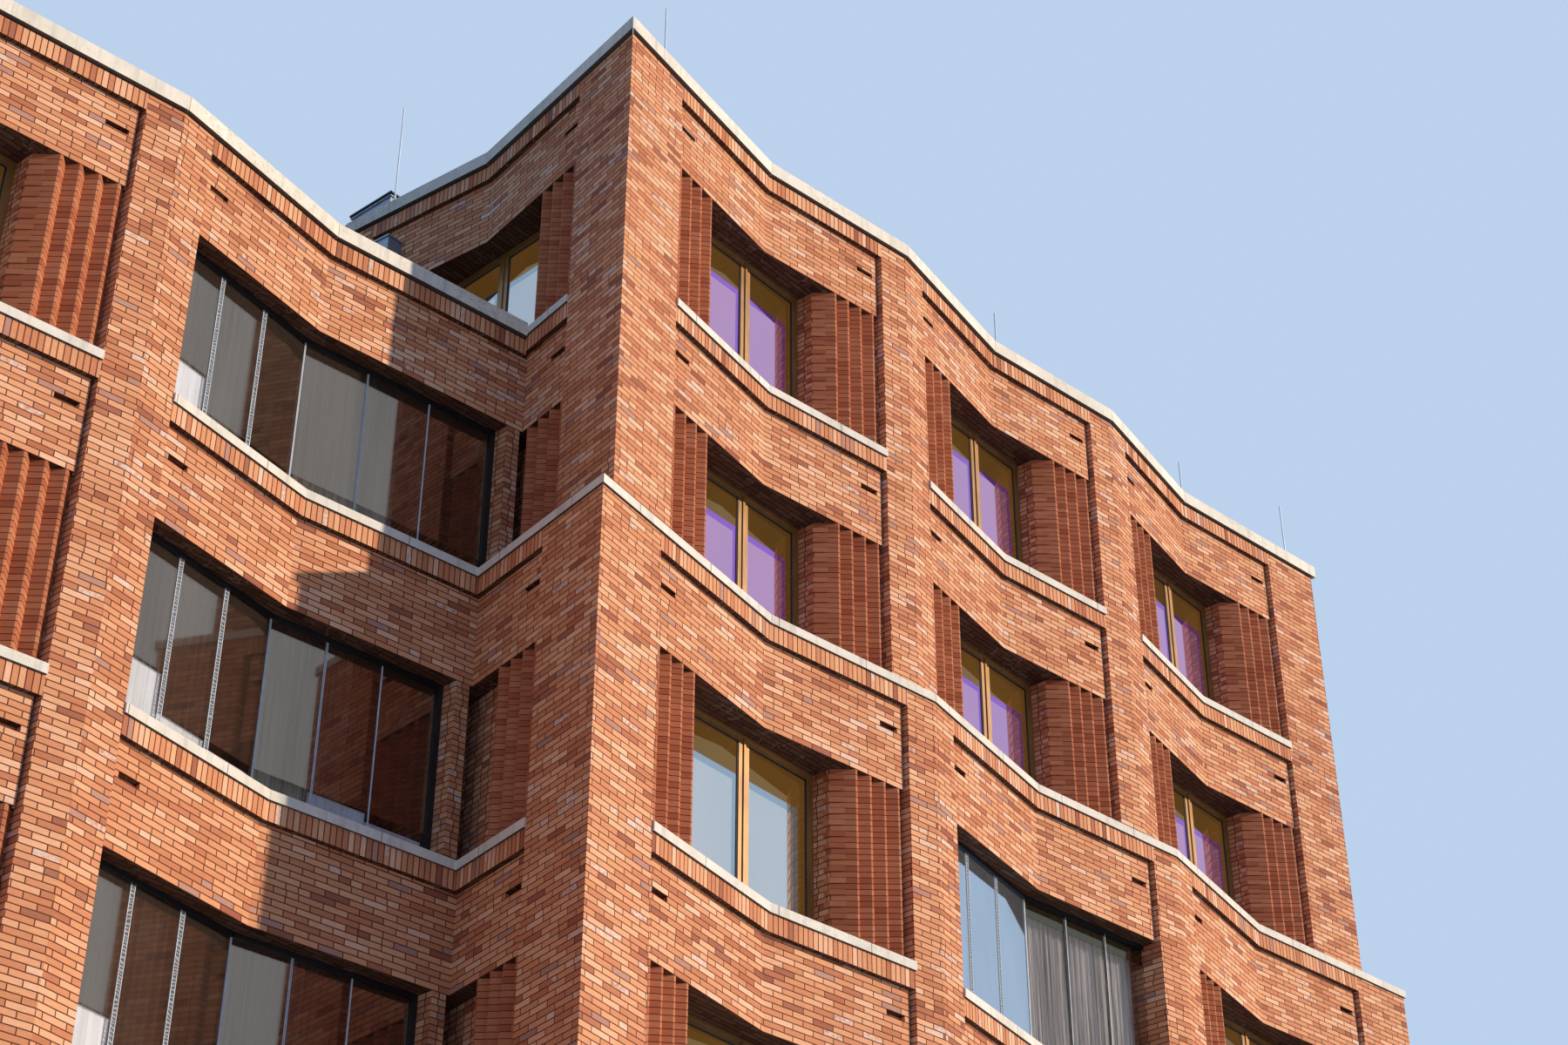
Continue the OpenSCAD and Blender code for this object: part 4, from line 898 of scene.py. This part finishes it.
def stackPrisms(outlines, low, high):
    # outlines (n, k, 2) raised from low to high: k sides, a floor and a roof for each, all facing out
    outlines = np.asarray(outlines, float)
    n, k = outlines.shape[:2]
    outlines = np.where(runsClockwise(outlines)[:, None, None], outlines[:, ::-1], outlines)
    low = np.broadcast_to(np.asarray(low, float), (n,))
    high = np.broadcast_to(np.asarray(high, float), (n,))
    bottom = np.concatenate([outlines, np.repeat(low[:, None, None], k, 1)], -1)
    top = np.concatenate([outlines, np.repeat(high[:, None, None], k, 1)], -1)
    points = np.concatenate([bottom, top], 1).reshape(-1, 3)
    start = (np.arange(n) * 2 * k)[:, None]
    j = np.arange(k)
    around = (j + 1) % k
    sides = np.stack([j, around, around + k, j + k], -1).reshape(-1)
    sides = (start + sides).reshape(-1)
    floors = (start + j[::-1]).reshape(-1)
    roofs = (start + j + k).reshape(-1)
    loops = np.concatenate([sides, floors, roofs])
    totals = np.concatenate([np.full(n * k, 4), np.full(2 * n, k)])
    return points, loops, totals


def dress(names, material):
    for name in names:
        mesh = nodes[name].data
        mesh.materials.clear()
        mesh.materials.append(material)


# Sawtooth jambs: a layer of single bricks over the teeth and the splay

toothBricks = {
    "joint": 0.008,
    "proud": 0.0090,
    "spread": 0.0006,  # how far single bricks stand out more or less
    "tip": 0.0120,  # half the width of the flat along a tooth's tip
    "headerOut": 0.017,
    "headerPast": 0.014,
    "headerBack": 0.05,
    "tone": (0.02, 0.46),
    "odd": (0.36, 0.91),
}


def toothBrickParts(jambs, rng):
    # each tooth is a triangle in plan with its tip cut flat, moved out by proud x root 2; every other course
    # ends in a header that stands out from the splay
    t = toothBricks
    half, pitch, recess, splay = block["tooth"], block["pitch"], block["recess"], block["splay"]
    courses = int(round(block["windowHeight"] / brickLay["course"]))
    rows = np.arange(courses)
    odd = rows % 2 == 0
    pick = rows[odd]
    flat = np.full(courses, t["tip"])
    teeth, headers = [], []
    for volume, side, edge, way, k in jambs:
        low = sillHeight(k) + rows * brickLay["course"] + t["joint"] / 2
        high = low + brickLay["course"] - t["joint"]
        for tooth in range(block["teeth"]):
            tip = (tooth + 0.5) * pitch
            out = (t["proud"] + t["spread"] * rng.uniform(-1, 1, courses)) * math.sqrt(2)
            last = tooth == block["teeth"] - 1
            reach = np.where(odd, splay / 2, splay) if last else np.full(courses, half)
            a = np.stack([np.full(courses, tip - half), tip - flat, tip + flat, tip + reach], 1)
            e = np.stack([np.full(courses, recess + half), recess + flat, recess + flat, recess + reach], 1)
            teeth.append((facePoint(volume, side, edge + way * a, e - out[:, None]), low, high))
        tip = (block["teeth"] - 0.5) * pitch
        mid, end, back = splay / 2, splay + t["headerPast"], t["headerBack"]
        out = (t["headerOut"] + t["spread"] * rng.uniform(-1, 1, len(pick)))[:, None] * math.sqrt(2)
        a = np.tile([tip + mid, tip + end, tip + end, tip + mid], (len(pick), 1))
        e = np.tile([recess + mid, recess + end, recess + end + back, recess + mid + back], (len(pick), 1))
        e = np.concatenate([e[:, :2] - out, e[:, 2:]], 1)
        headers.append((facePoint(volume, side, edge + way * a, e), low[pick], high[pick]))
    outlines, low, high = (np.concatenate([g[part] for g in teeth + headers]) for part in range(3))
    tone = np.repeat(rng.uniform(*t["tone"], len(outlines)), boxPoints)
    oddness = np.repeat(rng.uniform(*t["odd"], len(outlines)), boxPoints)
    return stackPrisms(outlines, low, high), {"tone": tone, "odd": oddness}


def makeToothBricks(material):
    rng = np.random.default_rng(5207)
    everyJamb = jambList()
    for volume in ("base", "top", "wing"):
        shape, values = toothBrickParts([j for j in everyJamb if j[0] == volume], rng)
        piece = meshPiece(volume + "ToothBricks", shape, material, values)
        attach(piece, "root")
        print(volume, "tooth bricks:", len(shape[2]), "faces")


# Window panes in their sashes, and the gaskets round them

panes = {
    "front": 0.644, "back": 0.6695, "play": 0.0005, "gasketWidth": 0.014, "gasketDepth": 0.012,
    "gasketLip": 0.6,  # the depth at the gasket's inner edge, as a share
}


def paneList():
    # every pane: volume, side, its ends along the side, its foot and head
    found = []
    for volume, side, i, k in windowList():
        a, b = bayEnds(volume, side, i)
        a, b = a + jambWidth + block["bar"], b - jambWidth - block["bar"]
        m = (a + b) / 2
        foot, head = sillHeight(k) + block["bar"], sillHeight(k) + block["windowHeight"] - block["bar"]
        for left, right in ((a, m - block["mullion"] / 2), (m + block["mullion"] / 2, b)):
            found.append((volume, side, left, right, foot, head))
    return found


def makePanes(material):
    # one box a pane; across and up run from 0 to 1 over each pane, and second is 1 on a window's second pane
    front, back, play = panes["front"], panes["back"], panes["play"]
    outlines, low, high = [], [], []
    found = paneList()
    for volume, side, left, right, foot, head in found:
        left, right = left + play, right - play
        outlines.append(planPoint(volume, side, [left, right, right, left], [front, front, back, back]))
        low.append(foot + play)
        high.append(head - play)
    outlines = np.array(outlines)
    across = np.tile([0.0, 1.0, 1.0, 0.0], (len(found), 1))
    across = np.where(runsClockwise(outlines)[:, None], across[:, ::-1], across)
    across = np.concatenate([across, across], 1).reshape(-1)
    up = np.tile(np.repeat([0.0, 1.0], boxPoints // 2), len(found))
    second = np.tile(np.repeat([0.0, 1.0], boxPoints), len(found) // 2)
    piece = meshPiece("windowPanes", stackPrisms(outlines, low, high), material,
                      {"second": second}, np.stack([across, up], -1))
    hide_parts("base_glass", "top_glass", "wing_glass")
    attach(piece, "root")
    print("panes:", len(found))


def makeGaskets(material):
    # a four-cornered profile carried round each pane's rectangle, mitred at its corners
    width, thick = panes["gasketWidth"], panes["gasketDepth"]
    inset = np.array([0.0, 0.0, width, width])
    depth = panes["front"] - thick * np.array([0.0, 1.0, panes["gasketLip"], 0.0])
    points, loops = [], []
    corner = np.arange(4)
    after = (corner + 1) % 4
    quad = np.concatenate([
        np.stack([corner * 4 + a, after * 4 + a, after * 4 + b, corner * 4 + b], -1)
        for a, b in ((0, 1), (1, 2), (2, 3), (3, 0))
    ])
    for n, (volume, side, left, right, foot, head) in enumerate(paneList()):
        s = np.stack([left + inset, right - inset, right - inset, left + inset])
        z = np.stack([foot + inset, foot + inset, head - inset, head - inset])
        flat = planPoint(volume, side, s, np.tile(depth, (4, 1)))
        points.append(np.concatenate([flat, z[..., None]], -1).reshape(-1, 3))
        faces = quad if side != "rear" else quad[:, ::-1]
        loops.append((faces + 16 * n).reshape(-1))
    loops = np.concatenate(loops)
    shape = np.concatenate(points), loops, np.full(len(loops) // 4, 4)
    piece = meshPiece("paneGaskets", shape, material)
    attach(piece, "root")


# Loggias: where the glass leaves meet, lower panels, and curtains

loggiaParts = {
    "rail": 0.045, "post": 0.06, "strip": 0.15, "gap": 0.03, "leaves": 3,
    "seams": {"wing": (0.052, 0.052, 0.016, 0.020, 0.012), "base": (0.050, 0.050, 0.016, 0.042, 0.042)},
    "seamEdge": 0.006, "seamDepth": (0.2525, 0.2585),
    "webBack": 0.002,  # how far the strips between the bright edges lie back
    "webLeast": 0.001,  # a narrower strip is left out
    "panelDepth": (0.301, 0.321), "panelGap": 0.004, "lipOut": 0.004, "lipTall": 0.012,
    "panelHeights": ((0.66, 0.30, 0.0, 0.20, 0.22, 0.0), (0.66, 0.30, 0.24, 0.0, 0.30, 0.22)),
}


def wingGlassEnd(volume, side):
    # the wing's glazing ends before the tower's panel: the place where both faces meet, found in four steps
    x = 0.0
    for _ in range(4):
        y = facePoint("wing", side, x - volumes["wing"][0], block["recess"])[1]
        x = facePoint(volume, "left", volumes[volume][3] - y, block["recess"])[0]
    p = loggiaParts
    return float(x) - volumes["wing"][0] - p["gap"] - p["strip"] - p["post"]


def loggiaList():
    # every loggia: volume, side, storey, and the ends of its leaves along the side
    found = []
    start, end = bayEnds("base", "front", 1)
    for k in range(1, block["baseStoreys"]):
        found.append(("base", "front", k, leafEnds(start, (start + end) / 2, end)))
    for side in ("front", "rear"):
        start, after = bayEnds("wing", side, 1)
        for k in range(block["wingStoreys"]):
            end = wingGlassEnd(towerVolume(k), side)
            found.append(("wing", side, k, leafEnds(start, (start + after) / 2, end)))
    return found


def leafEnds(start, fold, end):
    n = loggiaParts["leaves"]
    return np.concatenate([np.linspace(start, fold, n + 1), np.linspace(fold, end, n + 1)[1:]])


def strip(volume, side, a, b, front, back):
    return facePoint(volume, side, [a, b, b, a], [front, front, back, back])


def makeLeafSeams(material):
    # wherever two leaves meet: two bright glass edges with a hazy strip between them (web = 1), or at the
    # tower's right leaves a dark strip (web = 2) beside one bright edge
    p = loggiaParts
    edge, (front, back) = p["seamEdge"], p["seamDepth"]
    boxes, web = [], []
    for volume, side, k, ends in loggiaList():
        for n, s in enumerate(ends[1:-1]):
            half = p["seams"][volume][n] / 2
            if volume == "base" and n > 2:
                cuts, kinds = (-half, half - edge, half), (2.0, 0.0)
            else:
                cuts, kinds = (-half, -half + edge, half - edge, half), (0.0, 1.0, 0.0)
            for a, b, kind in zip(cuts, cuts[1:], kinds):
                if b - a < p["webLeast"]:
                    continue
                setBack = p["webBack"] if kind else 0.0
                boxes.append((strip(volume, side, s + a, s + b, front + setBack, back),
                              sillHeight(k) + p["rail"], sillHeight(k) + block["windowHeight"] - p["rail"]))
                web.append(kind)
    piece = meshPiece("leafSeams", stackPrisms(*zip(*boxes)), material,
                      {"web": np.repeat(web, boxPoints)})
    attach(piece, "root")
    print("leaf seams:", len(boxes))


def makeLowerPanels(material):
    # white panels of several heights behind the wing's leaves; each is a slab with a folded lip on top
    p = loggiaParts
    front, back = p["panelDepth"]
    boxes = []
    for volume, side, k, ends in loggiaList():
        if volume != "wing":
            continue
        z = sillHeight(k)
        for n, tall in enumerate(p["panelHeights"][(k + 1) % 2]):
            if tall == 0.0:
                continue
            a, b = ends[n] + p["panelGap"], ends[n + 1] - p["panelGap"]
            lip = strip(volume, side, a, b, front - p["lipOut"], back + p["lipOut"])
            boxes += [(strip(volume, side, a, b, front, back), z, z + tall),
                      (lip, z + tall, z + tall + p["lipTall"])]
    piece = meshPiece("lowerPanels", stackPrisms(*zip(*boxes)), material)
    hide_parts("loggia_panels")
    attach(piece, "root")


curtains = {
    "depth": 0.372,
    "pleat": 0.094,
    "swing": 0.021,
    "cloth": 0.0024,
    "step": 0.0118,
    "drift": (0.9, 0.61),  # how far the pleats wander, and over what length
    "sway": (0.2, 0.47),  # how much their depth varies, and over what length
    "foot": 0.012,
    "head": 0.0015,
    # first and last leaf end that each curtain keeps to, and how far it stays inside them
    "tower": {"": (3, 0.03, 6, 0.06)},
    "wing": {"A": (0, 0.02, 2, 0.02), "B": (3, 0.05, 5, 0.22)},
}


def makeCurtain(name, place, a, b, material, rng):
    # a pleated sheet: its middle line waves about one depth behind the leaves, and the cloth has a front and
    # a back half a thickness either side of it
    c = curtains
    volume, side, k = place
    s = np.linspace(a, b, int((b - a) / c["step"]) + 1)
    drift, start, sway = (rng.uniform(0, 6) for _ in range(3))
    turn = 2 * math.pi * s
    wave = turn / c["pleat"] + c["drift"][0] * np.sin(turn / c["drift"][1] + drift) + start
    swing = c["swing"] * (1.0 - c["sway"][0] + c["sway"][0] * np.sin(turn / c["sway"][1] + sway))
    middle = facePoint(volume, side, s, c["depth"] + swing * np.sin(wave))
    along = np.gradient(middle, axis=0)
    along /= np.linalg.norm(along, axis=1)[:, None]
    out = np.stack([along[:, 1], -along[:, 0]], 1) * (1 if side != "rear" else -1) * c["cloth"] / 2
    low = sillHeight(k) + c["foot"]
    high = sillHeight(k) + block["windowHeight"] - c["head"]
    n = len(s)
    corners = ((1, low), (1, high), (-1, high), (-1, low))
    rows = [np.column_stack([middle + way * out, np.full(n, z)]) for way, z in corners]
    i = np.arange(n - 1)
    strips = [(r * n, (r + 1) % 4 * n) for r in range(4)]
    faces = np.concatenate([np.stack([i + r, i + 1 + r, i + 1 + q, i + q], -1) for r, q in strips])
    ends = np.array([[0, n, 2 * n, 3 * n], [n - 1, 4 * n - 1, 3 * n - 1, 2 * n - 1]])
    faces = np.concatenate([faces, ends])
    if side == "rear":
        faces = faces[:, ::-1]
    shape = np.concatenate(rows), faces.reshape(-1), np.full(len(faces), 4)
    piece = meshPiece(name, shape, material)
    width = float(np.sum(np.linalg.norm(np.diff(middle, axis=0), axis=1)))
    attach(piece, "root")
    return width


def makeCurtains(wingCloth, towerCloth):
    rng = np.random.default_rng(2207)
    widths = []
    for volume, side, k, ends in loggiaList():
        onTower = volume == "base"
        label = "towerCurtain" if onTower else "wingCurtain" + side.capitalize()
        cloth, carrier = (towerCloth, "base_panels") if onTower else (wingCloth, "wing_panels")
        for letter, (first, inA, last, inB) in curtains["tower" if onTower else "wing"].items():
            a, b = ends[first] + inA, ends[last] - inB
            name = label + str(k) + letter
            widths.append(makeCurtain(name, (volume, side, k), a, b, cloth, rng))
    print("curtains:", len(widths), "flat widths", round(min(widths), 2), "to", round(max(widths), 2), "m")


# Floor

floorPlace = {"reach": 700.0, "height": -0.002}


def makeFloor():
    r, z = floorPlace["reach"], floorPlace["height"]
    mesh = bpy.data.meshes.new("paleFloor")
    mesh.from_pydata([(-r, -r, z), (r, -r, z), (r, r, z), (-r, r, z)], [], [(0, 1, 2, 3)])
    mesh.materials.append(plasterMaterial("paleFloor"))
    floor = addObject("paleFloor", mesh)


# Build

def ending(tail):
    return [name for name in nodes if name.endswith(tail)]


makeCamera()
makeLight()

wallPlace = makeWallPlace()
colours = makeBrickColour()
groups = (makeBrickCourses(wallPlace), colours)
dress(ending("_piers"), brickMaterial("facingBrick", groups, {"Seed": 1.0}))
panels = [name for name in ending("_panels") if name != "loggia_panels"]
dress(panels, brickMaterial("panelBrick", groups, {"Seed": 2.0}))
# the jambs and the loggia's side walls carry painted shade
jambBrick = brickMaterial("jambBrick", groups, {"Seed": 3.0, "Header Share": 1.0}, paintedShade=0.12)
dress(ending("_jambs") + ["party_wall", "loggia_strips"], jambBrick)
upright = {"Seed": 4.0, "Header Share": 0.0, "Upright": 1.0, "Brick Length": block["storey"]}
dress(ending("_soldiers"), brickMaterial("soldierBrick", groups, upright))
print("brickwork ready")

dress(ending("_sills") + ["ledge_cap"], stoneMaterial("sillStone", wallPlace, "sill"))
dress(ending("_coping"), stoneMaterial("copingStone", wallPlace, "coping"))
dress(ending("_frames") + ["entrance_frame", "entrance_doors"], metalMaterial("bronzeLacquer", "bronze"))
dress(["loggia_rails", "loggia_posts", "vent_lid"], metalMaterial("darkLacquer", "lacquer"))
dress(["lightning_rods"], metalMaterial("rodSteel", "rod"))
dress(["roof_vent", "rain_hopper", "rain_pipe"], metalMaterial("zincSheet", "zinc"))
pane = paneMaterial("coatedPane")
dress(ending("_glass"), pane)
dress(["loggia_leaves"], leafMaterial("clearLeaf", wallPlace))
whitePanel = plasterMaterial("whitePanel")
dress(["loggia_panels"], whitePanel)
dress(ending("_floors"), plasterMaterial("castConcrete"))
dress(ending("_roof"), roofMaterial("roofFelt"))
print("finishes on the solids")

makeToothBricks(toothBrickMaterial("toothBrick", colours))
makePanes(pane)
makeGaskets(metalMaterial("blackGasket", "gasket"))
makeLeafSeams(seamMaterial("leafSeam"))
makeLowerPanels(whitePanel)
makeCurtains(clothMaterial("greyCloth", "wing"), clothMaterial("paleCloth", "tower"))
makeFloor()
